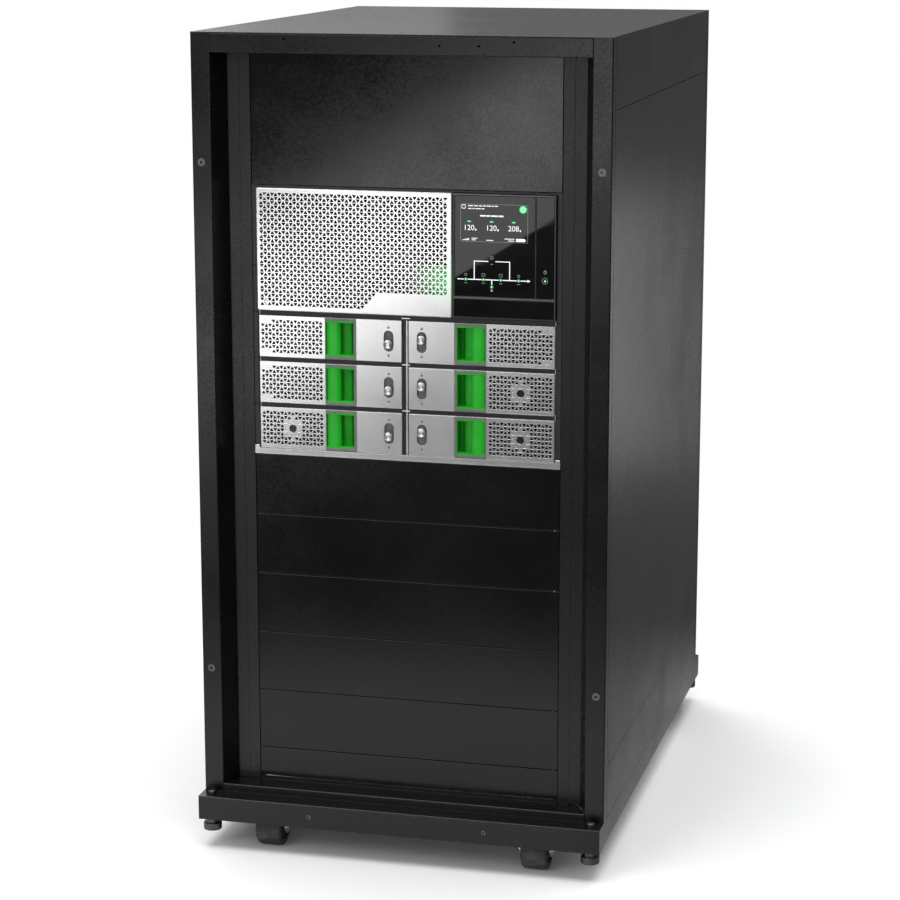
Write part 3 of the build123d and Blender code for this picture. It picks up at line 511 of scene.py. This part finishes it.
def solid_plate(outline, y, thickness, chamfer=0.0, holes=()):
    """A flat plate of any outline, its front edge broken by a chamfer."""
    b = Build()
    if chamfer:
        b.cap(grown(outline, -chamfer), [grown(hole, chamfer) for hole in holes], y)
    else:
        b.cap(outline, holes, y)
    b.cap(outline, holes, y + thickness)
    for line, sign in [(outline, -1)] + [(h, 1) for h in holes]:
        rings = [b.loop(line, y + chamfer), b.loop(line, y + thickness)]
        if chamfer:
            b.wall(b.loop(grown(line, sign * chamfer), y), rings[0])
        b.wall(*rings)
    return b


def turned_rod(profile, x, z, steps=40):
    """A round piece on an axis along Y, from (radius, y) points, closed at both ends."""
    b = Build()
    rim = None
    for radius, y in profile:
        ring = b.loop(circle(x, z, radius, steps), y)
        if rim is not None:
            b.wall(rim, ring)
        else:
            b.faces.append(tuple(ring))
        rim = ring
    b.faces.append(tuple(rim))
    return b


# ---- UPS front ---------------------------------------------------------------------------
def grille_bezel():
    """The big bezel, its field of triangles cut away at the lower right."""
    holes = []
    columns = int((BEZEL_HIGH.x - BEZEL_LOW.x - 2 * BEZEL_MARGIN[0]) / BEZEL_PITCH[0]) + 1
    for row in range(BEZEL_ROWS):
        z = BEZEL_HIGH.z - BEZEL_MARGIN[1] - row * BEZEL_PITCH[1]
        for column in range(columns):
            x = BEZEL_LOW.x + BEZEL_FIRST + column * BEZEL_PITCH[0]
            if row >= FULL_ROWS and x > CUT_X - CUT_STEP * (row - FULL_ROWS):
                continue
            holes.append(triangle_hole(x, z, (row + column) % 2 == 0, BEZEL_TRIANGLE))
    box = (BEZEL_LOW.x, BEZEL_HIGH.x, BEZEL_LOW.z, BEZEL_HIGH.z, BEZEL_LOW.y)
    bezel = sheet_pan(box, 7.0, 1.6, 1.4, holes, corner=2.2)
    studs = [(x, z) for x in (BEZEL_LOW.x + STUD_INSET, BEZEL_HIGH.x - STUD_INSET)
             for z in (BEZEL_LOW.z + STUD_INSET, BEZEL_HIGH.z - STUD_INSET)]
    for x, z in studs:
        join(bezel, turned_rod([(3.0, BEZEL_LOW.y + 2.2), (3.0, BEZEL_HIGH.y - 1.5),
                                (2.2, BEZEL_HIGH.y)], x, z, 20))
    spill = (BEZEL_HIGH.x * MM, BEZEL_LOW.y * MM, (UPS_BASE + GLOW_Z) * MM)
    paint = silver_coat("silver paint by the light", SILVER_BASE, SILVER_ROUGHNESS, spill)
    obj = bezel.piece("bezel_perforated", "grille_bezel", "ups_silver", paint)
    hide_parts("ups_grille_bezel")
    outline = rounded_rectangle(BEZEL_LOW.x + 2.2, BEZEL_HIGH.x - 2.2, BEZEL_LOW.z + 2.2,
                                BEZEL_HIGH.z - 2.2, 1.0)
    notches = [circle(x, z, 4.0, 16) for x, z in studs]
    filter_sheet = solid_plate(outline, BEZEL_LOW.y + 3.6, 2.6, holes=notches)
    filter_sheet.piece("bezel_filter", "grille_bezel", "fan_black", FOAM)
    guide = rounded_rectangle(BEZEL_HIGH.x - 88, BEZEL_HIGH.x - 5, UPS_BASE + 238, UPS_BASE + 282, 2.0)
    guide = solid_plate(guide, BEZEL_LOW.y + 2.6, 0.8)
    guide.piece("bezel_light_guide", "grille_bezel", "handle_green", glow_sheet("bezel glow"))


def glow_sheet(name):
    """Light guide behind the bezel's holes, brightest near one corner."""
    s = Shader(name, Roughness=0.6, Specular_IOR_Level=0.2)
    flatter = 1.35      # the pool of light is wider than it is high
    centre = ((BEZEL_HIGH.x - 4) * MM, 0, (UPS_BASE + GLOW_Z) * MM * flatter)
    offset = s.add("VectorMath", {0: s.place((1, 0, flatter)), 1: centre},
                   operation="DISTANCE").outputs["Value"]
    s.set(s.principled, Emission_Color=(0.12, 0.85, 0.2, 1.0))
    near = s.span(offset, 1.0, 0.0, 0.0, 0.062)
    level = s.math("MULTIPLY", s.math("POWER", near, 1.5), 0.55)
    s.links.new(level, s.principled.inputs["Emission Strength"])
    colour = s.blend(near, grey(0.006), (0.02, 0.12, 0.03, 1.0))
    return s.surface(colour)


def module_frame(number):
    """A module's box, its outer edge and the direction from there to the middle."""
    low, high = node_box(f"module_{number}_face")
    left = low.x + high.x < 0
    return low, high, (low.x if left else high.x), (1 if left else -1)


def module_grille(low, high, edge, inwards, battery):
    """Through holes, closed triangles and the middle of a module's grille."""
    holes, closed = [], []
    middle_x = edge + inwards * (MODULE_FIRST[0] - (MODULE_COLUMNS - 1) * MODULE_PITCH[0] / 2)
    middle_z = (low.z + high.z) / 2
    for row in range(MODULE_ROWS):
        z = high.z - MODULE_FIRST[1] - row * MODULE_PITCH[1]
        for column in range(MODULE_COLUMNS):
            x = edge + inwards * (MODULE_FIRST[0] - column * MODULE_PITCH[0])
            reach = math.hypot(x - middle_x, z - middle_z)
            outer = column >= MODULE_COLUMNS - 3 and row in (0, MODULE_ROWS - 1)
            if battery and reach < LAMP_BLANK:
                continue
            hole = triangle_hole(x, z, (row + column) % 2 == 0, MODULE_TRIANGLE)
            shut = reach < LAMP_CLOSED if battery else outer
            (closed if shut else holes).append(hole)
    return holes, closed, middle_x, middle_z


def module_fronts(number):
    """Perforated face, handle surround, filter and printed symbols of one module."""
    low, high, edge, inwards = module_frame(number)
    body, battery = f"module_{number}", number in BATTERY_MODULES
    z_mid = (low.z + high.z) / 2
    holes, closed, lamp_x, lamp_z = module_grille(low, high, edge, inwards, battery)
    w0, w1 = sorted((edge + inwards * WINDOW[0], edge + inwards * WINDOW[1]))
    window = rounded_rectangle(w0, w1, low.z + 1.9, high.z - 1.9, 0.6, 2)
    slot_x = edge + inwards * LATCH_FROM_EDGE
    slot = obround(slot_x, z_mid, *SLOT)
    lamp = [circle(lamp_x, lamp_z, LAMP_RADIUS)] if battery else []
    box = (low.x, high.x, low.z, high.z, low.y)
    pan = sheet_pan(box, high.y - low.y, 1.2, 0.7, [*holes, window, slot, *lamp], closed)
    obj = pan.piece(f"face_{number}_perforated", body, "ups_silver", MATERIALS["ups_silver"])
    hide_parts(f"module_{number}_face")

    grille = sorted((edge + inwards * 2.4, edge + inwards * (WINDOW[0] - 1.5)))
    filter_sheet = solid_plate(rounded_rectangle(*grille, low.z + 2.0, high.z - 2.0, 1.0),
                               low.y + 2.2, 1.6)
    filter_sheet.piece(f"filter_{number}", body, "fan_black", FOAM)

    o0, o1 = sorted((edge + inwards * OPENING[0], edge + inwards * OPENING[1]))
    opening = rounded_rectangle(o0, o1, low.z + 4.3, high.z - 4.3, 1.0)
    ring = solid_plate(rounded_rectangle(w0 - 0.3, w1 + 0.3, low.z + 0.3, high.z - 0.3, 0.5),
                       low.y - 0.3, 1.3, 0.25, [opening])
    ring.piece(f"handle_surround_{number}", body, "ups_silver", SURROUND)

    if battery:
        fit = LAMP_RADIUS - 0.1
        bowl = turned_rod([(fit, low.y + 0.5), (fit, low.y + 2.1)], lamp_x, lamp_z)
        bowl.piece(f"battery_lamp_{number}", body, "button_black", LENS)
        rim = solid_plate(circle(lamp_x, lamp_z, fit), low.y + 0.15, 0.6, 0.2,
                          [circle(lamp_x, lamp_z, 3.4)])
        rim.piece(f"battery_lamp_rim_{number}", body, "button_black", MATERIALS["button_black"])
    latch_symbols(number, body, slot_x, z_mid, low.y, 1 if inwards > 0 else -1)


def latch_symbols(number, body, x, z, y, up):
    """Small open and closed padlock marks beyond the ends of the latch slot."""
    marks = Build()
    for end, lift in ((1, 0.9), (-1, 0.0)):
        centre = z + up * end * (SLOT[1] / 2 + 5.0)
        box = rounded_rectangle(x - 1.7, x + 1.7, centre - 2.0, centre + 0.4, 0.4, 2)
        arch = []
        for radius, angles in ((1.3, range(0, 181, 20)), (0.8, range(180, -1, -20))):
            for a in map(math.radians, angles):
                arch.append((x + radius * math.cos(a),
                             centre + 0.4 + lift + radius * math.sin(a)))
        for outline in (box, arch):
            join(marks, solid_plate(outline, y - 0.03, 0.05))
    marks.piece(f"latch_symbols_{number}", body, "ups_dark", INK)


def latch_knob(number):
    """Knurled knob with a dished face."""
    low, high = node_box(f"module_{number}_latch")
    x, z = (low.x + high.x) / 2, (low.z + high.z) / 2
    b = Build()
    rim = None
    teeth = 36
    profile = [(4.2, 0.0), (5.4, 0.2), (6.0, 0.6), (6.3, 1.1), (6.3, 2.4), (5.9, 2.9), (4.0, 3.1),
               (4.0, 5.2)]     # radius, and depth behind the front of the knob
    for radius, depth in profile:
        knurl = 0.18 if 1.0 < depth < 2.5 else 0.0
        line = [((radius + (knurl if k % 2 else -knurl)) * math.cos(math.pi * k / teeth) + x,
                 (radius + (knurl if k % 2 else -knurl)) * math.sin(math.pi * k / teeth) + z)
                for k in range(2 * teeth)]
        ring = b.loop(line, low.y + depth)
        if rim is None:
            dish = b.loop([(x + (px - x) * 0.55, z + (pz - z) * 0.55) for px, pz in line],
                          low.y + 0.7)
            b.wall(dish, ring)
            b.faces.append(tuple(dish))
        else:
            b.wall(rim, ring)
        rim = ring
    b.faces.append(tuple(rim))
    knob = b.piece(f"latch_knob_{number}", f"module_{number}_latch", "latch_steel",
                   MATERIALS["latch_steel"], 25.0)
    latch_slider(number, low, high)
    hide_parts(f"module_{number}_latch")


def latch_slider(number, low, high):
    """Ribbed slider behind the slot, which the knob is fixed to."""
    ribs = Build()
    y0, pitch = high.y - 2.0, 1.7
    bottom, top = low.z - SLIDER_EXTRA, high.z + SLIDER_EXTRA
    section = [(bottom, high.y), (bottom, y0 + 0.5)]
    for i in range(int((top - bottom) / pitch)):
        z = bottom + 0.3 + i * pitch
        section += [(z, y0 + 0.6), (z + 0.3, y0), (z + 1.1, y0), (z + 1.4, y0 + 0.6)]
    section += [(top, y0 + 0.5), (top, high.y)]
    ends = [ribs.add_points([(x, y, z) for z, y in section]) for x in (low.x, high.x)]
    ribs.wall(*ends)
    ribs.faces += [tuple(end) for end in ends]
    ribs.piece(f"latch_slider_{number}", f"module_{number}_latch", "latch_steel",
               MATERIALS["latch_slider"], 25.0)


def tray_trim():
    """Bright tray lip with its shadow groove and end tabs, and the dark rack ears."""
    low, high = TRIM_LOW, TRIM_HIGH
    lip_top = node_box("module_5_face")[0].z - 0.4
    lip = Build()
    section = [(high.y, low.z), (low.y + 0.6, low.z), (low.y + 0.2, low.z + 0.2),
               (low.y, low.z + 0.6), (low.y, low.z + 2.1), (low.y + 0.8, low.z + 2.2),
               (low.y + 0.8, low.z + 2.8), (low.y, low.z + 2.9), (low.y, lip_top - 0.6),
               (low.y + 0.2, lip_top - 0.2), (low.y + 0.6, lip_top), (high.y, lip_top)]
    ends = [lip.add_points([(x, y, z) for y, z in section]) for x in (low.x, high.x)]
    lip.wall(*ends)
    lip.faces += [tuple(end) for end in ends]
    for x0, x1 in ((low.x, low.x + 7), (high.x - 7, high.x)):
        tab = rounded_rectangle(x0, x1, lip_top - 0.5, lip_top + 4, 0.8)
        join(lip, solid_plate(tab, low.y, 2.4, 0.4))
    trim = lip.piece("tray_lip", "cabinet", "ups_silver", MATERIALS["ups_silver"])
    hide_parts("ups_front_frame")
    ears = Build()
    y0 = low.y + 2.5
    for x0, x1 in ((low.x, low.x + 7.1), (high.x - 7.1, high.x)):
        holes = []
        for row in range(1, 6):
            z = lip_top + 0.4 + row * ROW_PITCH
            holes.append(rounded_rectangle(x0 + 1.0, x1 - 1.0, z - 3.4, z - 1.4, 0.6, 2))
        ear = rounded_rectangle(x0, x1, lip_top, high.z, 0.5, 2)
        join(ears, solid_plate(ear, y0, high.y - y0, 0.3, holes))
    join(ears, solid_plate(rounded_rectangle(low.x + 7.2, high.x - 7.2, DISPLAY_HIGH.z + 0.3,
                                             high.z, 0.5, 2), high.y - 1.5, 1.5, 0.3))
    ears.piece("rack_ears", "cabinet", "ups_dark", MATERIALS["ups_dark"])


def divider_trim():
    """Hemmed edge of the middle divider, with the cross caps where the shelves meet it."""
    y = node_box("ups_shelf_frame")[0].y
    hem = Build()
    low, high = node_box("module_5_face")[0], node_box("module_1_face")[1]
    join(hem, solid_plate(rounded_rectangle(0.2, 3.2, low.z - 0.2, high.z + 0.2, 0.5, 2), y - 1.6,
                          1.5, 0.6))
    for row in (1, 2, 3):
        z = low.z - 3.6 + row * ROW_PITCH
        join(hem, solid_plate(rounded_rectangle(-5.5, 7.0, z - 0.9, z + 0.9, 0.4, 2), y - 2.2,
                              0.5, 0.2))
    hem.piece("divider_hem", "cabinet", "ups_silver", MATERIALS["zinc"])


def display_trim():
    """Gloss strip under the window, and thin lighter metal strips on the housing's edge bevels that
    paint its edge highlight lines.
    """
    y = DISPLAY_LOW.y
    x0, x1, z0, z1 = DISPLAY_LOW.x, DISPLAY_HIGH.x, DISPLAY_LOW.z, DISPLAY_HIGH.z
    strip = solid_plate(rounded_rectangle(x0 + 2.6, x1 - 2.6, z0 + 2.4, GLASS_LOW.z - 3.6, 0.8),
                        y - 0.5, 0.9, 0.35)
    strip.piece("display_lower_strip", "cabinet", "display_black", MATERIALS["display_glass"])
    # lighter metal strips on the top, lower and right edges: painted highlight lines along the
    # housing's bevels
    highlight_lines = Build()
    for line in (rounded_rectangle(x0 + 1.6, x1 - 1.6, GLASS_LOW.z - 2.6, GLASS_LOW.z - 1.4, 0.5, 2),
                 rounded_rectangle(x0 + 1.6, x1 - 1.6, z1 - 2.0, z1 - 1.0, 0.4, 2),
                 rounded_rectangle(x1 - 2.2, x1 - 1.2, z0 + 1.6, z1 - 1.6, 0.4, 2)):
        join(highlight_lines, solid_plate(line, y - 0.35, 0.5, 0.2))
    highlight_lines.piece("display_highlight_bevels", "cabinet", "ups_dark", MATERIALS["dark_zinc"])


def handle_pull(number):
    """Green pull: a crowned grip bar over the outer half and a finger box beside it."""
    low, high = node_box(f"module_{number}_handle")
    inwards = module_frame(number)[3]
    start = low.x if inwards > 0 else high.x
    face = low.y - 0.2
    depth, grip = high.y - face, 22.0
    back, inner = depth - 3.0, 42.6
    section = [(0.0, 3.2), (1.6, 1.9), (3.4, 1.15), (7.0, 0.7), (12.0, 0.55), (16.5, 0.75),
               (19.4, 1.5), (21.2, 3.0), (grip, 4.8), (21.4, 6.4), (19.0, 7.6), (9.0, 8.2),
               (6.0, 9.6), (5.2, 12.0), (8.0, 14.2), (20.0, 14.6), (30.0, 15.2), (34.0, 16.4),
               (35.6, 19.0), (36.4, back - 1.5), (38.0, back), (41.0, back - 0.4),
               (inner, back - 3.0), (inner, 12.0), (inner - 1.4, 2.0), (inner - 0.6, 0.8),
               (high.x - low.x, 0.6), (high.x - low.x, depth), (0.0, depth)]
    b = Build()
    end_wall = 3.0
    rings = [b.add_points([(start + inwards * x, face + y, z) for x, y in section])
             for z in (low.z + end_wall, high.z - end_wall)]
    b.wall(*rings)
    plate = rounded_rectangle(low.x, high.x, face + 0.3, high.y, 0.3, 1)
    for z, towards in ((low.z, end_wall), (high.z, -end_wall)):
        outside = b.add_points([(x, y, z) for x, y in plate])
        inside = b.add_points([(x, y, z + towards) for x, y in plate])
        b.wall(outside, inside)
        b.faces += [tuple(outside), tuple(inside)]
    pull = b.piece(f"handle_{number}_pull", f"module_{number}", "handle_green",
                   MATERIALS["handle_green"], 40.0)
    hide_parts(f"module_{number}_handle")


# ---- display -----------------------------------------------------------------------------
INK_Y = GLASS_LOW.y - 0.04


def mark(name, outlines, material, body="cabinet", y=INK_Y, slot="display_glass"):
    """Thin marks on the cover window, one piece for all of them."""
    b = Build()
    for outline, holes in outlines:
        join(b, solid_plate(outline, y, 0.06, holes=holes))
    b.piece(name, body, slot, material)


def bar(x0, x1, z0, z1, round_by=0.25):
    """A small rounded bar, its heights counted from the foot of the UPS."""
    return rounded_rectangle(x0, x1, UPS_BASE + z0, UPS_BASE + z1, round_by, 2), ()


def ring(x, z, outer, inner):
    """A small ring, its height counted from the foot of the UPS."""
    return circle(x, UPS_BASE + z, outer, 28), [circle(x, UPS_BASE + z, inner, 28)]


def disc(x, z, radius):
    return circle(x, UPS_BASE + z, radius, 28), ()


def word_dashes(x, z, height, lengths, gap=1.1):
    """A row of short dashes that stands for a line of small print."""
    dashes = []
    for length in lengths:
        dashes.append(bar(x, x + length, z, z + height, 0.3))
        x += length + gap
    return dashes


def number_text(text, x, z, size):
    """Digits on the screen, as flat filled letters turned into a mesh."""
    curve = bpy.data.curves.new(f"reading {x:.0f}", "FONT")
    curve.body = text
    curve.size = size * MM
    curve.align_x, curve.align_y = "CENTER", "CENTER"
    curve.extrude = 0.00003
    holder = bpy.data.objects.new("holder", curve)
    bpy.context.scene.collection.objects.link(holder)
    bpy.context.view_layer.update()
    mesh = bpy.data.meshes.new_from_object(holder.evaluated_get(
        bpy.context.evaluated_depsgraph_get()))
    bpy.data.objects.remove(holder)
    for v in mesh.vertices:
        v.co = (v.co.x + x * MM, INK_Y * MM - v.co.z, v.co.y + (UPS_BASE + z) * MM)
    mesh.materials.clear()
    mesh.materials.append(WHITE_GLOW)
    obj = bpy.data.objects.new(f"reading_{x:.0f}", mesh)
    bpy.context.scene.collection.objects.link(obj)
    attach(obj, "cabinet")


def display_screen():
    """Readings, battery gauge and status badge on the upper part of the window."""
    left, right, low, high = 81.0, 177.0, 319.0, 371.5
    border = rounded_rectangle(left, right, UPS_BASE + low, UPS_BASE + high, 1.0)
    mark("screen_border", [(border, [grown(border, -0.35)])], GREY_GLOW)
    readings = {94.5: "120", 126.3: "120", 158.0: "208"}
    for x, text in readings.items():
        number_text(text, x - 1.2, 338.0, 10.5)
    units = [bar(x + 7.5, x + 9.3, 334.2, 337.0, 0.4) for x in readings]
    title = word_dashes(92.0, 368.2, 1.3, (7, 6, 5, 4, 6, 3, 5)) \
        + word_dashes(92.0, 364.3, 1.2, (5, 3, 8, 4)) \
        + word_dashes(109.0, 354.2, 2.0, (8, 5, 10, 7))
    gauge = [bar(84.0 + i * 2.0, 85.4 + i * 2.0, 320.6, 321.6 + i * 0.5) for i in range(5)]
    words = [bar(97.0, 105.5, 323.2, 324.2), bar(97.0, 103.0, 320.8, 321.8),
             bar(118.0, 128.0, 320.8, 321.8), bar(144.0, 158.0, 323.4, 324.4),
             bar(149.0, 158.0, 320.8, 321.8)]
    battery = [bar(160.5, 173.0, 320.4, 324.6, 0.5), bar(173.2, 174.2, 321.6, 323.4)]
    mark("screen_marks", units + title + gauge + words + battery, WHITE_GLOW)
    badge = rounded_rectangle(82.8, 88.6, UPS_BASE + 364.6, UPS_BASE + 370.2, 1.2)
    mark("screen_badge", [(badge, [grown(badge, -0.8)])], WHITE_GLOW)
    mark("screen_labels", [bar(x - 2.6, x + 2.6, 346.0, 348.0, 0.7) for x in (93.5, 125.5, 157.0)],
         GREEN_GLOW)
    mark("status_badge", [disc(170.2, 365.2, 5.2)], GREEN_GLOW)
    mark("status_badge_ring", [ring(170.2, 365.2, 2.9, 1.9)], PALE_GREEN, y=INK_Y - 0.04)


def mimic_diagram():
    """Power path drawing: main line, bypass loop, battery branch and their lamps."""
    main, half = 266.0, 0.62                # height and half thickness of the main line
    supply, rectifier, inverter, load = 88.8, 114.0, 138.7, 164.4
    bypass_left, bypass_right, bypass_top = 100.9, 151.5, 292.4
    middle, lamp_gap = 126.0, 2.6
    lamps = [(x, main) for x in (supply, rectifier, inverter, load)] + [(middle, 256.0)]
    stops = [76.7, supply, rectifier, inverter, load, 177.5]
    lines = []
    for a, b in zip(stops, stops[1:]):
        left = a + (lamp_gap if a != stops[0] else 0)
        right = b - (lamp_gap if b != stops[-1] else 0)
        lines.append(bar(left, right, main - half, main + half))
    lines += [bar(bypass_left - half, bypass_left + half, main, bypass_top),
              bar(bypass_right - half, bypass_right + half, main, bypass_top),
              bar(bypass_left, middle - 5.0, bypass_top - 1.2, bypass_top),
              bar(middle + 5.0, bypass_right, bypass_top - 1.2, bypass_top),
              bar(middle - half, middle + half, 258.8, main)]
    arrow = [(177.0, UPS_BASE + main - 2.0), (181.2, UPS_BASE + main),
             (177.0, UPS_BASE + main + 2.0)]
    symbols = [ring(middle, 297.0, 2.3, 1.8), bar(middle - 1.8, middle + 1.8, 287.6, 288.3),
               bar(middle - 1.6, middle + 1.6, 249.6, 252.2),
               bar(middle - 0.8, middle + 0.8, 252.2, 252.9)]
    for x in (supply, load):
        symbols.append(ring(x, 272.4, 1.9, 1.4))
    for x in (rectifier, inverter):
        outline = rounded_rectangle(x - 2.4, x + 2.4, UPS_BASE + 270.6, UPS_BASE + 274.6, 0.4, 2)
        symbols.append((outline, [grown(outline, -0.45)]))
    symbols += [bar(x - 2.4, x + 2.4, 260.6, 261.2) for x in (supply, rectifier, inverter, load)]
    mark("mimic_lines", lines + [(arrow, ())], WHITE_GLOW)
    mark("mimic_symbols", symbols, GREY_GLOW)
    halo = glowing("lamp halo", (0.05, 0.5, 0.1), 0.16)
    mark("mimic_halos", [ring(x, z, 2.5, 1.0) for x, z in lamps], halo)
    mark("mimic_lamps", [disc(x, z, 1.0) for x, z in lamps], PALE_GREEN, y=INK_Y - 0.03)


def power_button():
    """Lit centre and ring on the button, and the ring mark above it."""
    x, z = (BUTTON_LOW.x + BUTTON_HIGH.x) / 2, (BUTTON_LOW.z + BUTTON_HIGH.z) / 2 - UPS_BASE
    face = BUTTON_LOW.y - 0.05
    dark_green = glowing("button ring light", (0.03, 0.3, 0.05), 0.22)
    mark("button_lamp", [disc(x, z, 1.1)], PALE_GREEN, "power_button", face + 0.35, "button_black")
    mark("button_ring", [ring(x, z, 4.2, 3.2)], dark_green, "power_button", face, "button_black")
    mark("power_symbol", [ring(x, z + 12.2, 2.3, 1.7), bar(x - 0.3, x + 0.3, z + 12.4, z + 15.4)],
         GREY_GLOW)


# ---- stage -------------------------------------------------------------------------------
CAMERA_AT = (0.953, -3.878, 1.382)
CAMERA_LENS = 104.0
CAMERA_DOWN, CAMERA_LEFT = 12.15, 14.26     # degrees below level, and to the left of straight on
HORIZON, OVERHEAD = 0.12, 0.9               # brightness of the room


def area_light(name, at, aim, size, radiance):
    """A soft box that can't be seen directly, of a given brightness."""
    light = bpy.data.lights.new(name, "AREA")
    light.shape = "RECTANGLE"
    light.size, light.size_y = size
    light.energy = math.pi * size[0] * size[1] * radiance
    box = bpy.data.objects.new(name, light)
    box.location = at
    box.rotation_euler = (Vector(aim) - Vector(at)).to_track_quat("-Z", "Y").to_euler()
    box.visible_camera = False
    bpy.context.scene.collection.objects.link(box)
    return box


def slanting_card():
    """Long soft card in front, its lower edge slanting, that the gloss and the silver mirror."""
    slope = math.radians(31.2)
    edge_x, edge_z = -0.69, 0.396       # a point of the lower edge
    width, length = 0.42, 2.6
    back = 0.25                         # the card's middle, down the slope from that point
    x = edge_x - math.sin(slope) * width / 2 - math.cos(slope) * back
    z = edge_z + math.cos(slope) * width / 2 - math.sin(slope) * back
    card = area_light("slanting card", (x, -3.9, z), (x, 0, z), (length, width), 3.6)
    card.rotation_euler = (math.radians(90), -slope, 0)


def world():
    """White to the camera; otherwise a studio room, bright overhead and dark at eye level."""
    room = bpy.data.worlds.new("studio")
    room.use_nodes = True
    nodes, links = room.node_tree.nodes, room.node_tree.links
    direction = nodes.new("ShaderNodeTexCoord")
    height = nodes.new("ShaderNodeSeparateXYZ")
    ramp = nodes.new("ShaderNodeMapRange")
    for key, value in (("From Min", 0.0), ("From Max", 0.9), ("To Min", HORIZON),
                       ("To Max", OVERHEAD)):
        ramp.inputs[key].default_value = value
    dim = nodes["Background"]
    white = nodes.new("ShaderNodeBackground")
    white.inputs["Color"].default_value = (1, 1, 1, 1)
    path = nodes.new("ShaderNodeLightPath")
    mix = nodes.new("ShaderNodeMixShader")
    links.new(direction.outputs["Generated"], height.inputs[0])
    links.new(height.outputs["Z"], ramp.inputs["Value"])
    dim.inputs["Color"].default_value = (0.97, 0.98, 1.0, 1.0)
    links.new(ramp.outputs["Result"], dim.inputs["Strength"])
    links.new(path.outputs["Is Camera Ray"], mix.inputs[0])
    links.new(dim.outputs[0], mix.inputs[1])
    links.new(white.outputs[0], mix.inputs[2])
    links.new(mix.outputs[0], nodes["World Output"].inputs["Surface"])
    bpy.context.scene.world = room


def studio():
    """Pale floor, soft lights and the camera."""
    bpy.ops.mesh.primitive_circle_add(vertices=96, radius=FLOOR_RADIUS, fill_type="NGON",
                                      location=(*FLOOR_AT, 0))
    floor = bpy.context.object
    floor.name = "studio_floor"
    floor.data.materials.append(studio_white("studio floor"))
    world()
    area_light("top softbox", (0, -0.2, 3.6), (0, -0.2, 0), (3.4, 3.4), 4.0)
    area_light("key softbox", (-1.9, -4.0, 2.6), (0, -0.4, 0.7), (1.8, 1.6), 3.0)
    area_light("roof card", (-1.5, 3.0, 1.9), (-0.2, 0, 1.2), (1.4, 0.8), 0.45)
    area_light("side card", (1.5, 3.0, 0.2), (0.3, 0, 0.6), (0.8, 0.75), 1.25)
    area_light("rear fill", (-2.4, 3.2, 2.2), (0, 0.4, 0.6), (1.6, 1.6), 2.5)
    slanting_card()

    camera = bpy.data.cameras.new("camera")
    camera.lens = CAMERA_LENS
    camera.clip_start, camera.clip_end = 0.05, 60
    eye = bpy.data.objects.new("camera", camera)
    eye.location = CAMERA_AT
    eye.rotation_euler = (math.radians(90 - CAMERA_DOWN), 0, math.radians(CAMERA_LEFT))
    bpy.context.scene.collection.objects.link(eye)
    bpy.context.scene.camera = eye
    bpy.context.scene.view_settings.view_transform = "Standard"


grille_bezel()
tray_trim()
divider_trim()
display_trim()
for number in MODULES:
    module_fronts(number)
    handle_pull(number)
    latch_knob(number)
display_screen()
mimic_diagram()
power_button()
studio()
